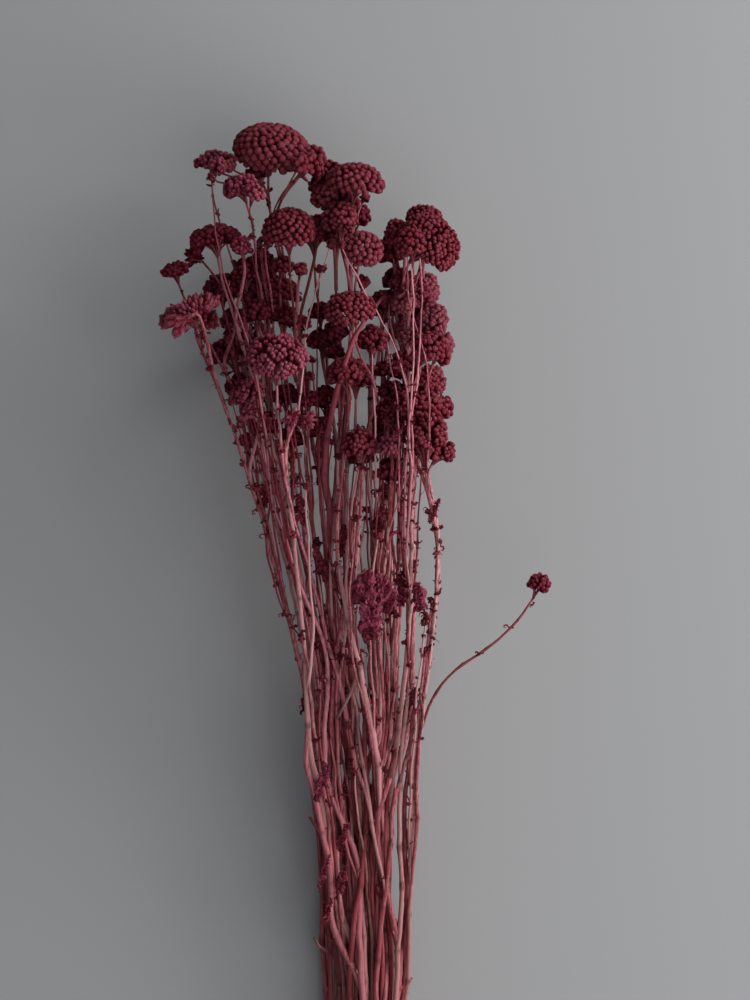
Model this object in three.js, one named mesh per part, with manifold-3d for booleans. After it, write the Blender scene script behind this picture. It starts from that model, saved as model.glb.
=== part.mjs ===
// A tied bunch of preserved yarrow, dyed wine red, lying on a surface.
// Millimetres. X runs across the bunch, Y from the cut ends to the flower heads, Z up from the surface.
import * as THREE from "three";
import Module from "manifold-3d";
import { mergeVertices } from "three/addons/utils/BufferGeometryUtils.js";

const wasm = await Module();
wasm.setup();

// Stems. Every stem is placed at stations along the bunch, and is straight between two of them.
const stationStep = 20;
const stemSides = 5;
const stemGap = 0.5;
const stemTipRadius = 1.0;
const branchRadius = 1.45;
const branchTipRadius = 0.9;
const cutEndSpread = 12;
const cutEndFlare = 1.25;
const stemTaper = 1.3;
const branchOfStem = 0.85;
const thinStemRadius = 2;
const neckLength = 7;
const seatGap = 0.3;

// A station that comes nearer than this to the neck is left out, and two lines of one stem may
// touch this far above their fork.
const nearNeck = 0.45 * stationStep;
const joinedLength = 3 * stationStep;

// The tie, a band wound round the bunch between two stations.
const tieMiddle = 90;
const tieWidth = 11;
const tieThickness = 2.2;
const tieTurns = 40;
const tieKnotSize = 7;
const tieKnotSink = 0.7 * tieThickness;

// Flower heads. A head is a dome on a cone that narrows to its stem.
const headSides = 11;
const headSeatRadius = 1.3;
const headRimHeight = 0.5;
const headGap = 1.2;

// A head's outline: how wide its cone and its dome are, as a part of the half width, at a part of
// the height of each.
const coneOutline = [{ wide: 0.62, high: 0.5 }];
const domeOutline = [{ wide: 0.84, high: 0.55 }, { wide: 0.46, high: 0.9 }];

// Heads that would touch are parted in small moves, larger up and down than across and along.
const headRounds = 200;
const headMoves = new THREE.Vector3(0.35, 0.2, 1);
const headMoveShare = 0.3;
const upwardBias = 4;
const neckBallParts = [0.4, 1];
const neckBallRadius = 1.5 * stemTipRadius;

const leafThickness = 2;
const leafLobes = 4;
const leafSteps = 16;
const leafNotch = 0.26;
const leafRoundness = 0.6;
const leafMargin = 1.5;

// How the bunch opens from the tie to the heads, as a power of the way along it.
const openingPower = { across: 2.1, up: 1.5 };
const openingParts = [0.3, 0.55, 0.8];
const crookedness = 1.8;

// How the stems are laid so that none runs through another.
const settling = { rounds: 420, quietRounds: 120, smoothing: 0.35, squeeze: 0.35, weight: 0.9 };

const colours = {
  lowStem: 0x8c5a58,
  darkStem: 0x6a3038,
  darkHead: 0x4a1824,
  head: 0x6b2234,
  pinkHead: 0x94485e,
  leaf: 0x7a2a4a,
  tie: 0xb59a6e,
};

// Each head: where its seat on the stem is, its width, its height and the way it leans.
const heads = {
  crown: { at: [-47.5, 568, 60], across: 38, tall: 26, lean: [0.15, 1, 0.35], tone: "head" },
  crown_lobe: { at: [-31, 566, 78], across: 16, tall: 14, lean: [0.7, 0.7, 0.2], tone: "head" },
  high_left: { at: [-76.5, 567, 58], across: 17.5, tall: 14, lean: [0.25, 1, 0.2], tone: "head" },
  below_crown: { at: [-59, 553, 86], across: 18, tall: 15, lean: [-0.45, 1, 0.3], tone: "head" },
  wide_left: { at: [-73.5, 527, 72], across: 28, tall: 16, lean: [-0.1, 1, 0], tone: "darkHead" },
  small_left: { at: [-82, 525, 52], across: 14, tall: 11, lean: [-0.8, 0.6, 0], tone: "darkHead" },
  outer_left: { at: [-93.5, 514.5, 62], across: 14.5, tall: 11, lean: [-0.2, 1, 0.2], tone: "head" },
  dark_left: { at: [-71.5, 502.5, 42], across: 20, tall: 18, lean: [0, 1, 0.1], tone: "darkHead" },
  fan_left: { at: [-84, 491, 80], across: 34, tall: 16, lean: [-0.45, 1, 0.1], tone: "pinkHead" },
  middle_left: { at: [-37.5, 527.5, 80], across: 27, tall: 24, lean: [0, 1, 0.4], tone: "head" },
  shaded_left: { at: [-40, 490, 62], across: 18, tall: 17, lean: [0.1, 1, 0.1], tone: "darkHead" },
  front_left: { at: [-43.5, 462.5, 96], across: 32, tall: 26, lean: [0, 0.9, 0.45], tone: "pinkHead" },
  low_left: { at: [-55, 451, 78], across: 18, tall: 16, lean: [-0.4, 0.9, 0.3], tone: "pinkHead" },
  high_middle: { at: [-7.5, 553.5, 80], across: 30, tall: 20, lean: [0.1, 1, 0.3], tone: "head" },
  under_middle: { at: [-15, 529, 56], across: 21, tall: 22, lean: [0, 1, 0.1], tone: "darkHead" },
  facing: { at: [-2.5, 524, 90], across: 21, tall: 16, lean: [0.2, 0.6, 0.8], tone: "head" },
  front_middle: { at: [-6.5, 490, 92], across: 27, tall: 19, lean: [-0.1, 1, 0.4], tone: "head" },
  dark_middle: { at: [-21, 477.5, 44], across: 18, tall: 15, lean: [0, 1, 0.2], tone: "darkHead" },
  behind_middle: { at: [10, 492, 46], across: 18, tall: 20, lean: [0, 1, 0], tone: "darkHead" },
  near_middle: { at: [4, 476.5, 68], across: 17, tall: 15, lean: [0, 1, 0.3], tone: "darkHead" },
  low_middle: { at: [-8.5, 457.5, 82], across: 20, tall: 20, lean: [-0.1, 1, 0.2], tone: "head" },
  big_right: { at: [22.5, 523.5, 74], across: 33, tall: 28, lean: [0.75, 0.7, 0.3], tone: "head" },
  behind_right: { at: [17, 521, 44], across: 18, tall: 20, lean: [-0.4, 1, 0], tone: "darkHead" },
  upper_right: { at: [26.5, 490, 56], across: 17, tall: 25, lean: [0, 1, 0], tone: "darkHead" },
  outer_right: { at: [28, 472.5, 84], across: 22, tall: 18, lean: [0.6, 0.8, 0.2], tone: "head" },
  small_right: { at: [29, 455, 60], across: 15, tall: 15, lean: [0.1, 1, 0], tone: "darkHead" },
  inner_right: { at: [13.5, 450, 56], across: 16, tall: 15, lean: [0.1, 1, 0], tone: "darkHead" },
  lower_right: { at: [30, 420, 88], across: 22, tall: 34, lean: [0, 1, 0.1], tone: "head" },
  shaded_right: { at: [13, 427.5, 54], across: 24, tall: 21, lean: [-0.1, 1, 0], tone: "darkHead" },
  front_low: { at: [-1.5, 422.5, 84], across: 18, tall: 19, lean: [-0.1, 1, 0.3], tone: "head" },
  drooped_right: { at: [12.5, 410, 78], across: 14, tall: 18, lean: [0, 1, 0.1], tone: "darkHead" },
  sprig: { at: [85, 356.5, 46], across: 13, tall: 13, lean: [0.4, 0.9, 0.1], tone: "darkHead" },
  rest_left: { at: [-66, 470, 12], across: 24, tall: 20, lean: [-0.2, 1, 0], tone: "darkHead", lowest: true },
  rest_right: { at: [24, 484, 12], across: 22, tall: 20, lean: [0.2, 1, 0], tone: "darkHead", lowest: true },
  back_middle: { at: [-26, 530, 26], across: 24, tall: 20, lean: [0, 1, 0.1], tone: "darkHead" },
};

// Each stem: its place inside the tie, its radius at the cut end and its heads. The first head ends the
// stem and the others end branches, which leave it at the heights in forks. A bend is a point [x, y] that
// the stem passes, and a reach is the points [x, y, z] of a branch that turns too far for the stations.
const stems = [
  { name: "rest_left", seat: [-12, 5], radius: 2.1, heads: ["rest_left"] },
  { name: "dark_left", seat: [-6, 5], radius: 2.0, heads: ["dark_left"] },
  { name: "back_middle", seat: [0, 5], radius: 2.2, heads: ["back_middle"] },
  { name: "behind_middle", seat: [6, 5], radius: 2.3, heads: ["behind_middle", "near_middle"], forks: [200] },
  { name: "rest_right", seat: [12, 5], radius: 2.1, heads: ["rest_right"] },
  { name: "high_left", seat: [-15, 10], radius: 2.2, heads: ["high_left", "below_crown"], forks: [440] },
  { name: "under_middle", seat: [-9, 10], radius: 2.3, heads: ["under_middle", "dark_middle"], forks: [300] },
  {
    name: "crown",
    seat: [-3, 10],
    radius: 2.4,
    heads: ["crown", "crown_lobe"],
    forks: [520],
    reach: { crown_lobe: [[-47, 540, 66], [-43, 552, 72], [-38, 560, 76]] },
  },
  { name: "shaded_right", seat: [3, 10], radius: 2.3, heads: ["shaded_right", "inner_right"], forks: [320] },
  { name: "upper_right", seat: [9, 10], radius: 2.2, heads: ["upper_right", "small_right"], forks: [280] },
  {
    name: "sprig",
    seat: [16, 10],
    radius: 1.3,
    heads: ["sprig"],
    reach: { sprig: [[37, 314, 44], [50, 322, 45], [62, 330, 45], [73, 341, 46]] },
    bends: [[24, 240], [29, 290]],
  },
  { name: "fan_left", seat: [-14, 15], radius: 2.3, heads: ["fan_left", "outer_left"], forks: [220] },
  { name: "wide_left", seat: [-9, 15], radius: 2.2, heads: ["wide_left", "small_left"], forks: [460] },
  {
    name: "middle_left",
    seat: [3, 15],
    radius: 2.3,
    heads: ["middle_left", "shaded_left"],
    forks: [440],
    bends: [[1, 200], [-9, 280], [-19, 335]],
  },
  { name: "high_middle", seat: [-3, 15], radius: 2.4, heads: ["high_middle"], bends: [[0, 230], [-7, 290]] },
  {
    name: "big_right",
    seat: [8, 15],
    radius: 2.4,
    heads: ["big_right", "behind_right"],
    forks: [460],
    bends: [[10, 255], [21, 290], [22, 335]],
  },
  {
    name: "lower_right",
    seat: [14, 15],
    radius: 2.2,
    heads: ["lower_right"],
    bends: [[19, 155], [24, 205], [26, 255], [31, 315], [35, 345], [37, 385]],
  },
  {
    name: "front_left",
    seat: [2, 20],
    radius: 2.4,
    heads: ["front_left", "low_left"],
    forks: [220],
    bends: [[-3, 166], [-17, 205], [-21, 238], [-29, 280], [-31, 330]],
  },
  {
    name: "front_middle",
    seat: [-8, 20],
    radius: 2.1,
    heads: ["front_middle", "low_middle"],
    forks: [260],
    bends: [[-4, 205], [-14, 248], [-21, 285], [-19, 335]],
  },
  {
    name: "facing",
    seat: [7, 20],
    radius: 2.2,
    heads: ["facing"],
    bends: [[8, 160], [0, 230], [-5, 265], [-12, 310], [-17, 330]],
  },
  {
    name: "front_low",
    seat: [-3, 20],
    radius: 2.3,
    heads: ["front_low", "drooped_right"],
    forks: [260],
    bends: [[-3, 155], [6, 250], [2, 295], [-6, 330]],
  },
  {
    name: "outer_right",
    seat: [12, 20],
    radius: 2.2,
    heads: ["outer_right"],
    bends: [[17, 175], [12, 225], [15, 260], [21, 310], [24, 345]],
  },
];

// The two feathery leaves that are left on stems at the front: their middle, their size and their turn.
const leaves = [
  { name: "upper", at: [0, 365], long: 16, wide: 13, turn: 0.35 },
  { name: "lower", at: [1, 343], long: 20, wide: 15, turn: -0.4 },
];

function material(colour, roughness) {
  return new THREE.MeshStandardMaterial({ color: colour, roughness, metalness: 0 });
}

const materials = {
  stem: material(colours.lowStem, 0.7),
  thinStem: material(colours.darkStem, 0.75),
  head: material(colours.head, 0.85),
  darkHead: material(colours.darkHead, 0.85),
  pinkHead: material(colours.pinkHead, 0.85),
  leaf: material(colours.leaf, 0.85),
  tie: material(colours.tie, 0.9),
};

// A fixed stream of numbers from -1 to 1, so that the bunch is the same each time it is built.
let seed = 7;
function spread() {
  seed += 1;
  return THREE.MathUtils.seededRandom(seed) * 2 - 1;
}

// A point of a stem's middle line. A held point keeps its place while the stems are laid.
class Station extends THREE.Vector3 {
  constructor(x, y, z, radius, held = false) {
    super(x, y, z);
    this.home = new THREE.Vector3(x, y, z);
    this.radius = radius;
    this.held = held;
  }

  shove(x, z) {
    if (this.held) return;
    this.x += x;
    this.z += z;
  }
}

// A curve whose rings fall on its own points, however far apart these are.
class StemCurve extends THREE.CatmullRomCurve3 {
  getPointAt(u, target) {
    return this.getPoint(u, target);
  }

  getTangentAt(u, target) {
    return this.getTangent(u, target);
  }
}

function solidOf(geometry) {
  const bare = geometry.clone();
  bare.deleteAttribute("normal");
  bare.deleteAttribute("uv");
  const merged = mergeVertices(bare, 1e-4);
  const vertProperties = new Float32Array(merged.attributes.position.array);
  const triVerts = new Uint32Array(merged.index.array);
  return new wasm.Manifold(new wasm.Mesh({ numProp: 3, vertProperties, triVerts }));
}

function geometryOf(solid) {
  const mesh = solid.getMesh();
  const geometry = new THREE.BufferGeometry();
  geometry.setAttribute("position", new THREE.BufferAttribute(mesh.vertProperties, 3));
  geometry.setIndex(new THREE.BufferAttribute(mesh.triVerts, 1));
  return geometry;
}

// Heads

// The ball that a head fits in, which keeps stems and other heads off it.
function ballOf(head) {
  const middle = head.seat.clone().addScaledVector(head.lean, head.tall * headRimHeight);
  return { middle, radius: Math.max(head.across / 2, head.tall * headRimHeight) };
}

// The end of the stem below a head, as two more balls.
function neckBallsOf(head) {
  return neckBallParts.map((part) => ({
    middle: head.seat.clone().addScaledVector(head.lean, -part * neckLength),
    radius: neckBallRadius,
  }));
}

function placeHeads() {
  return Object.entries(heads).map(([name, row]) => {
    const lean = new THREE.Vector3(...row.lean).normalize();
    return { ...row, name, lean, seat: new THREE.Vector3(...row.at) };
  });
}

function partBalls(one, other, oneHead, otherHead) {
  const between = other.middle.clone().sub(one.middle);
  const short = one.radius + other.radius + headGap - between.length();
  if (short <= 0) return;
  between.z += between.z < 0 ? -upwardBias : upwardBias;
  between.multiply(headMoves).setLength(short * headMoveShare);
  if (!otherHead.lowest) otherHead.seat.add(between);
  if (!oneHead.lowest) oneHead.seat.sub(between);
}

// Heads that share a place move apart, mostly up and down, so that the view from above stays.
function partHeads(placed) {
  for (let round = 0; round < headRounds; round += 1) {
    placed.forEach((one, i) => {
      for (const other of placed.slice(i + 1)) {
        partBalls(ballOf(one), ballOf(other), one, other);
        for (const neck of neckBallsOf(other)) partBalls(ballOf(one), neck, one, other);
        for (const neck of neckBallsOf(one)) partBalls(neck, ballOf(other), one, other);
      }
      const ball = ballOf(one);
      if (!one.lowest) one.seat.z += Math.max(0, ball.radius - ball.middle.z);
    });
  }
}

// A head turned on its side: its seat faces the stem, and it widens to a rim below a low dome.
function headGeometry(head) {
  const half = head.across / 2;
  const rim = head.tall * headRimHeight;
  const dome = head.tall - rim;
  const profile = [
    new THREE.Vector2(0, 0),
    new THREE.Vector2(headSeatRadius, 0),
    ...coneOutline.map(({ wide, high }) => new THREE.Vector2(half * wide, rim * high)),
    new THREE.Vector2(half, rim),
    ...domeOutline.map(({ wide, high }) => new THREE.Vector2(half * wide, rim + dome * high)),
    new THREE.Vector2(0, head.tall),
  ];
  const geometry = new THREE.LatheGeometry(profile, headSides);
  const turn = new THREE.Quaternion().setFromUnitVectors(new THREE.Vector3(0, 1, 0), head.lean);
  geometry.applyQuaternion(turn);
  geometry.translate(head.seat.x, head.seat.y, head.seat.z);
  return geometry;
}

// A head at the back of the bunch is lowered until it touches the surface.
function restOnSurface(head) {
  const geometry = headGeometry(head);
  geometry.computeBoundingBox();
  head.seat.z -= geometry.boundingBox.min.z;
}

// Stem routes

// The way from the tie to a head when nothing else is said: close together first, then opening out.
function openingKnots(start, end) {
  return openingParts.map((part) => {
    const across = part ** openingPower.across;
    const up = part ** openingPower.up;
    return [
      start.x + (end.x - start.x) * across + spread() * crookedness,
      start.y + (end.y - start.y) * part,
      start.z + (end.z - start.z) * up + spread() * crookedness,
    ];
  });
}

// The way through the bends that a stem is known to make.
function bentKnots(start, end, bends) {
  return bends.map(([x, y]) => {
    const part = (y - start.y) / (end.y - start.y);
    return [x, y, start.z + (end.z - start.z) * part ** openingPower.up];
  });
}

function routeOf(knots) {
  const heights = new Float64Array(knots.map((knot) => knot[1]));
  const places = new Float64Array(knots.flatMap((knot) => [knot[0], knot[2]]));
  return new THREE.CubicInterpolant(heights, places, 2);
}

// A line of stations up to a head. The points of a reach, the neck and the tip are held.
function layStem(knots, head, reach, radiusAt, lowest) {
  const neck = head.seat.clone().addScaledVector(head.lean, -neckLength);
  const tip = head.seat.clone().addScaledVector(head.lean, -seatGap);
  const turned = reach.map((point) => new THREE.Vector3(...point));
  const last = turned[0] ?? neck;
  const route = routeOf([...knots, last.toArray()]);
  const points = [];
  for (let y = lowest; y < last.y - nearNeck; y += stationStep) {
    const [x, z] = route.evaluate(y);
    points.push(new Station(x, y, z, radiusAt(y)));
  }
  for (const point of [...turned, neck, tip]) {
    points.push(new Station(point.x, point.y, point.z, radiusAt(point.y), true));
  }
  return points;
}

// A stem from its cut end, through the tie and up to its first head.
function layMain(stem, head) {
  const [x, z] = stem.seat;
  const cutEnd = [x * cutEndFlare, 0, z];
  const belowTie = [x, tieMiddle - stationStep / 2, z];
  const aboveTie = new THREE.Vector3(x, tieMiddle + stationStep / 2, z);
  const bends = stem.bends ? bentKnots(aboveTie, head.seat, stem.bends) : openingKnots(aboveTie, head.seat);
  const radiusAt = (y) => THREE.MathUtils.lerp(stem.radius, stemTipRadius, (y / head.seat.y) ** stemTaper);
  const knots = [cutEnd, belowTie, aboveTie.toArray(), ...bends];
  const points = layStem(knots, head, stem.reach?.[head.name] ?? [], radiusAt, 0);
  points[0].y = Math.abs(spread()) * cutEndSpread;
  return { stem, name: head.name, points, root: null };
}

// A branch, whose first station is one of its stem's own.
function layBranch(stem, head, main, forkAt) {
  const fork = main.points[Math.round(forkAt / stationStep)];
  const base = Math.min(branchRadius, fork.radius * branchOfStem);
  const length = head.seat.y - forkAt;
  const radiusAt = (y) => THREE.MathUtils.lerp(base, branchTipRadius, (y - forkAt) / length);
  const reach = stem.reach?.[head.name] ?? [];
  const knots = reach.length > 0 ? [] : openingKnots(fork, head.seat);
  const points = layStem([fork.toArray(), ...knots], head, reach, radiusAt, forkAt + stationStep);
  return { stem, name: head.name, points: [fork, ...points], root: fork };
}

function layBunch(placed) {
  const headNamed = new Map(placed.map((head) => [head.name, head]));
  return stems.flatMap((stem) => {
    const [first, ...others] = stem.heads.map((name) => headNamed.get(name));
    const main = layMain(stem, first);
    return [main, ...others.map((head, i) => layBranch(stem, head, main, stem.forks[i]))];
  });
}

// Laying the stems so that they clear each other

const nearOne = new THREE.Vector3();
const nearOther = new THREE.Vector3();
const apart = new THREE.Vector3();
const whenTogether = new THREE.Vector3(0.3, 0, 1);
const tooClose = 0.01;
const overshoot = 1.1;

// Both ends of a segment move, the nearer one more.
function shoveSegment(ends, along, x, z) {
  ends.start.shove(x * (1 - along), z * (1 - along));
  ends.end.shove(x * along, z * along);
}

function segmentsOf(line) {
  return line.points.slice(1).map((point, i) => new THREE.Line3(line.points[i], point));
}

function isHeld(segment) {
  return segment.start.held && segment.end.held;
}

function thicknessOf(segment) {
  return Math.max(segment.start.radius, segment.end.radius);
}

// Whether two segments' boxes are further apart than a reach, along one of the axes.
function farApart(one, other, axis, reach) {
  const lowOne = Math.min(one.start[axis], one.end[axis]);
  const highOne = Math.max(one.start[axis], one.end[axis]);
  const lowOther = Math.min(other.start[axis], other.end[axis]);
  const highOther = Math.max(other.start[axis], other.end[axis]);
  return lowOne > highOther + reach || highOne < lowOther - reach;
}

// Two segments that are too near move apart, both by half unless one of them is held.
function partSegments(one, other) {
  const wanted = thicknessOf(one) + thicknessOf(other) + stemGap;
  if (farApart(one, other, "x", wanted) || farApart(one, other, "z", wanted)) return;
  const short = wanted - Math.sqrt(one.distanceSqToLine3(other, nearOne, nearOther));
  if (short <= 0) return;
  apart.subVectors(nearOther, nearOne).setY(0);
  if (apart.length() < tooClose) apart.copy(whenTogether);
  apart.setLength(short * overshoot);
  const oneShare = isHeld(one) ? 0 : isHeld(other) ? 1 : 0.5;
  const otherShare = isHeld(other) ? 0 : 1 - oneShare;
  const alongOne = one.closestPointToPointParameter(nearOne, true);
  const alongOther = other.closestPointToPointParameter(nearOther, true);
  shoveSegment(one, alongOne, -apart.x * oneShare, -apart.z * oneShare);
  shoveSegment(other, alongOther, apart.x * otherShare, apart.z * otherShare);
}

// Two lines of one stem may touch near their fork.
function mayTouch(lineOne, segmentOne, lineOther, segmentOther) {
  if (lineOne.stem !== lineOther.stem) return false;
  const fork = Math.max(lineOne.root?.y ?? 0, lineOther.root?.y ?? 0);
  return Math.min(segmentOne.start.y, segmentOther.start.y) < fork + joinedLength;
}

function partLines(lines) {
  lines.forEach((line, i) => {
    for (const other of lines.slice(i + 1)) {
      for (const one of line.segments) {
        for (const two of other.segments) {
          const beside = two.start.y < one.end.y && two.end.y > one.start.y;
          if (beside && !mayTouch(line, one, other, two)) partSegments(one, two);
        }
      }
    }
  });
}

// A segment that runs through a head's ball moves out of it.
function clearBall(segment, ball) {
  segment.closestPointToPoint(ball.middle, true, nearOne);
  const short = ball.radius + thicknessOf(segment) + stemGap - nearOne.distanceTo(ball.middle);
  if (short <= 0) return;
  apart.subVectors(nearOne, ball.middle).setY(0);
  if (apart.length() < tooClose) apart.copy(whenTogether);
  apart.setLength(short * overshoot);
  shoveSegment(segment, segment.closestPointToPointParameter(nearOne, true), apart.x, apart.z);
}

function clearHeads(lines, placed) {
  for (const head of placed) {
    const ball = ballOf(head);
    for (const line of lines.filter((each) => each.name !== head.name)) {
      for (const segment of line.segments) clearBall(segment, ball);
    }
  }
}

// A stem bends gently: each station follows what its neighbours moved.
function smoothLines(lines) {
  for (const line of lines) {
    const moved = line.points.map((point) => point.clone().sub(point.home));
    for (let i = 1; i + 1 < line.points.length; i += 1) {
      const wanted = moved[i - 1].clone().add(moved[i + 1]).multiplyScalar(0.5).sub(moved[i]);
      line.points[i].shove(wanted.x * settling.smoothing, wanted.z * settling.smoothing);
    }
  }
}

function isTied(point) {
  return Math.abs(point.y - tieMiddle) <= stationStep / 2 + 1;
}

// The tie pulls the stems together and down onto itself.
function squeezeAtTie(lines, amount) {
  for (const point of lines.flatMap((line) => line.points.filter(isTied))) {
    point.shove(-Math.sign(point.x) * amount, -amount * settling.weight);
  }
}

function keepOffSurface(lines) {
  for (const line of lines) {
    for (const point of line.points) {
      const under = isTied(point) ? tieThickness + seatGap : seatGap;
      const short = point.radius + under - point.z;
      if (short > 0) point.shove(0, short);
    }
  }
}

function settle(lines, placed) {
  for (const line of lines) line.segments = segmentsOf(line);
  const busyRounds = settling.rounds - settling.quietRounds;
  for (let round = 0; round < settling.rounds; round += 1) {
    if (round < busyRounds) {
      smoothLines(lines);
      squeezeAtTie(lines, settling.squeeze);
    }
    clearHeads(lines, placed);
    partLines(lines);
    keepOffSurface(lines);
  }
}

// Solids

function sectionOf(radius) {
  const outline = new THREE.Shape();
  for (let side = 0; side < stemSides; side += 1) {
    const angle = (side / stemSides) * Math.PI * 2;
    const [x, y] = [Math.cos(angle) * radius, Math.sin(angle) * radius];
    if (side === 0) outline.moveTo(x, y);
    else outline.lineTo(x, y);
  }
  outline.closePath();
  return outline;
}

// A tube along the stations, narrowed ring by ring to each station's own radius.
function stemTube(points) {
  const curve = new StemCurve(points, false, "catmullrom");
  const geometry = new THREE.ExtrudeGeometry(sectionOf(1), {
    extrudePath: curve,
    steps: points.length - 1,
    bevelEnabled: false,
  });
  const corner = new THREE.Vector3();
  const place = geometry.attributes.position;
  for (let i = 0; i < place.count; i += 1) {
    corner.fromBufferAttribute(place, i);
    const ring = points.reduce((best, point) =>
      point.distanceToSquared(corner) < best.distanceToSquared(corner) ? point : best);
    corner.sub(ring).multiplyScalar(ring.radius).add(ring);
    place.setXYZ(i, corner.x, corner.y, corner.z);
  }
  return geometry;
}

function stemMesh(stem, lines) {
  const own = lines.filter((line) => line.stem === stem);
  let solid = solidOf(stemTube(own[0].points));
  for (const line of own.slice(1)) {
    solid = solid.add(solidOf(stemTube(line.points)));
  }
  const look = stem.radius < thinStemRadius ? materials.thinStem : materials.stem;
  const mesh = new THREE.Mesh(geometryOf(solid), look);
  mesh.name = `stem_${stem.name}`;
  return mesh;
}

function headMesh(head) {
  const mesh = new THREE.Mesh(geometryOf(solidOf(headGeometry(head))), materials[head.tone]);
  mesh.name = `head_${head.name}`;
  return mesh;
}

// The tie's outline round the stems, at a distance from them: the outermost stem in each direction.
function outlineRound(discs, distance) {
  const outline = [];
  for (let turn = 0; turn < tieTurns; turn += 1) {
    const angle = (turn / tieTurns) * Math.PI * 2;
    const out = new THREE.Vector2(Math.cos(angle), Math.sin(angle));
    const far = (disc) => disc.middle.dot(out) + disc.radius;
    const outermost = discs.reduce((best, disc) => (far(disc) > far(best) ? disc : best));
    outline.push(outermost.middle.clone().addScaledVector(out, outermost.radius + distance));
  }
  return outline;
}

function tieMesh(lines) {
  const discs = lines
    .flatMap((line) => line.points.filter(isTied))
    .map((point) => ({ middle: new THREE.Vector2(point.x, point.z), radius: point.radius }));
  const outer = outlineRound(discs, seatGap + tieThickness);
  const ring = new THREE.Shape(outer);
  ring.holes.push(new THREE.Path(outlineRound(discs, seatGap)));
  const band = new THREE.ExtrudeGeometry(ring, { depth: tieWidth, bevelEnabled: false });
  band.rotateX(Math.PI / 2);
  band.translate(0, tieMiddle + tieWidth / 2, 0);
  const top = outer.reduce((best, point) => (point.y > best.y ? point : best));
  const knot = new THREE.SphereGeometry(tieKnotSize / 2, 8, 6);
  knot.translate(top.x, tieMiddle, top.y + tieKnotSize / 2 - tieKnotSink);
  const mesh = new THREE.Mesh(geometryOf(solidOf(band).add(solidOf(knot))), materials.tie);
  mesh.name = "tie";
  return mesh;
}

// Leaves

function leafOutline(leaf) {
  const halfWidth = (part) => {
    const notch = 1 - leafNotch + leafNotch * Math.cos(part * leafLobes * Math.PI * 2);
    return (leaf.wide / 2) * Math.sin(Math.PI * part) ** leafRoundness * notch;
  };
  const edge = (side) => Array.from({ length: leafSteps - 1 }, (_, i) => {
    const part = (i + 1) / leafSteps;
    return new THREE.Vector2(side * halfWidth(part), part * leaf.long);
  });
  const bottom = new THREE.Vector2(0, 0);
  const top = new THREE.Vector2(0, leaf.long);
  return new THREE.Shape([bottom, ...edge(1), top, ...edge(-1).reverse()]);
}

// How steeply the foremost stem rises where a leaf lies on it.
function slopeUnder(leaf, lines) {
  const [x, y] = leaf.at;
  const under = lines
    .flatMap((line) => line.segments)
    .filter(({ start, end }) => start.y <= y && end.y > y && Math.abs(start.x - x) < leaf.wide / 2);
  const foremost = under.reduce((best, segment) => (segment.start.z > best.start.z ? segment : best));
  return (foremost.end.z - foremost.start.z) / (foremost.end.y - foremost.start.y);
}

// How high the stems under a leaf come, measured from a plane that rises with the slope.
function heightUnder(leaf, slope, lines) {
  const place = new THREE.Vector3();
  const across = new THREE.Vector2();
  const middle = new THREE.Vector2();
  let highest = 0;
  for (const segment of lines.flatMap((line) => line.segments)) {
    for (let part = 0; part <= 1; part += 0.1) {
      segment.at(part, place);
      across.set(place.x - leaf.at[0], place.y - leaf.at[1]);
      const rise = across.y * slope;
      across.rotateAround(middle, -leaf.turn);
      const aside = across.x / (leaf.wide / 2 + leafMargin);
      const along = across.y / (leaf.long / 2 + leafMargin);
      const top = place.z - rise + thicknessOf(segment) * Math.hypot(1, slope);
      if (aside ** 2 + along ** 2 < 1) highest = Math.max(highest, top);
    }
  }
  return highest;
}

// A leaf lies along the foremost stem below it.
function leafMesh(leaf, lines) {
  const slope = slopeUnder(leaf, lines);
  const blade = { depth: leafThickness, bevelEnabled: false };
  const geometry = new THREE.ExtrudeGeometry(leafOutline(leaf), blade);
  geometry.translate(0, -leaf.long / 2, 0);
  geometry.rotateZ(leaf.turn);
  geometry.rotateX(Math.atan(slope));
  geometry.translate(leaf.at[0], leaf.at[1], heightUnder(leaf, slope, lines) + seatGap);
  const mesh = new THREE.Mesh(geometryOf(solidOf(geometry)), materials.leaf);
  mesh.name = `leaf_${leaf.name}`;
  return mesh;
}

// The bunch, with its origin in the middle of the surface that it lies on
function yarrowBunch() {
  const placed = placeHeads();
  placed.filter((head) => head.lowest).forEach(restOnSurface);
  partHeads(placed);
  const lines = layBunch(placed);
  settle(lines, placed);
  const bunch = new THREE.Group();
  bunch.name = "preserved_yarrow_bunch";
  bunch.add(...stems.map((stem) => stemMesh(stem, lines)));
  bunch.add(...placed.map(headMesh));
  bunch.add(...leaves.map((leaf) => leafMesh(leaf, lines)));
  bunch.add(tieMesh(lines));
  const box = new THREE.Box3().setFromObject(bunch);
  const middle = box.getCenter(new THREE.Vector3());
  for (const mesh of bunch.children) {
    mesh.geometry.translate(-middle.x, -middle.y, -box.min.z);
  }
  return bunch;
}

export default yarrowBunch();
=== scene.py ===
import bpy
import bmesh
import math
import random
from mathutils import Matrix, Quaternion, Vector, noise


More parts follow.
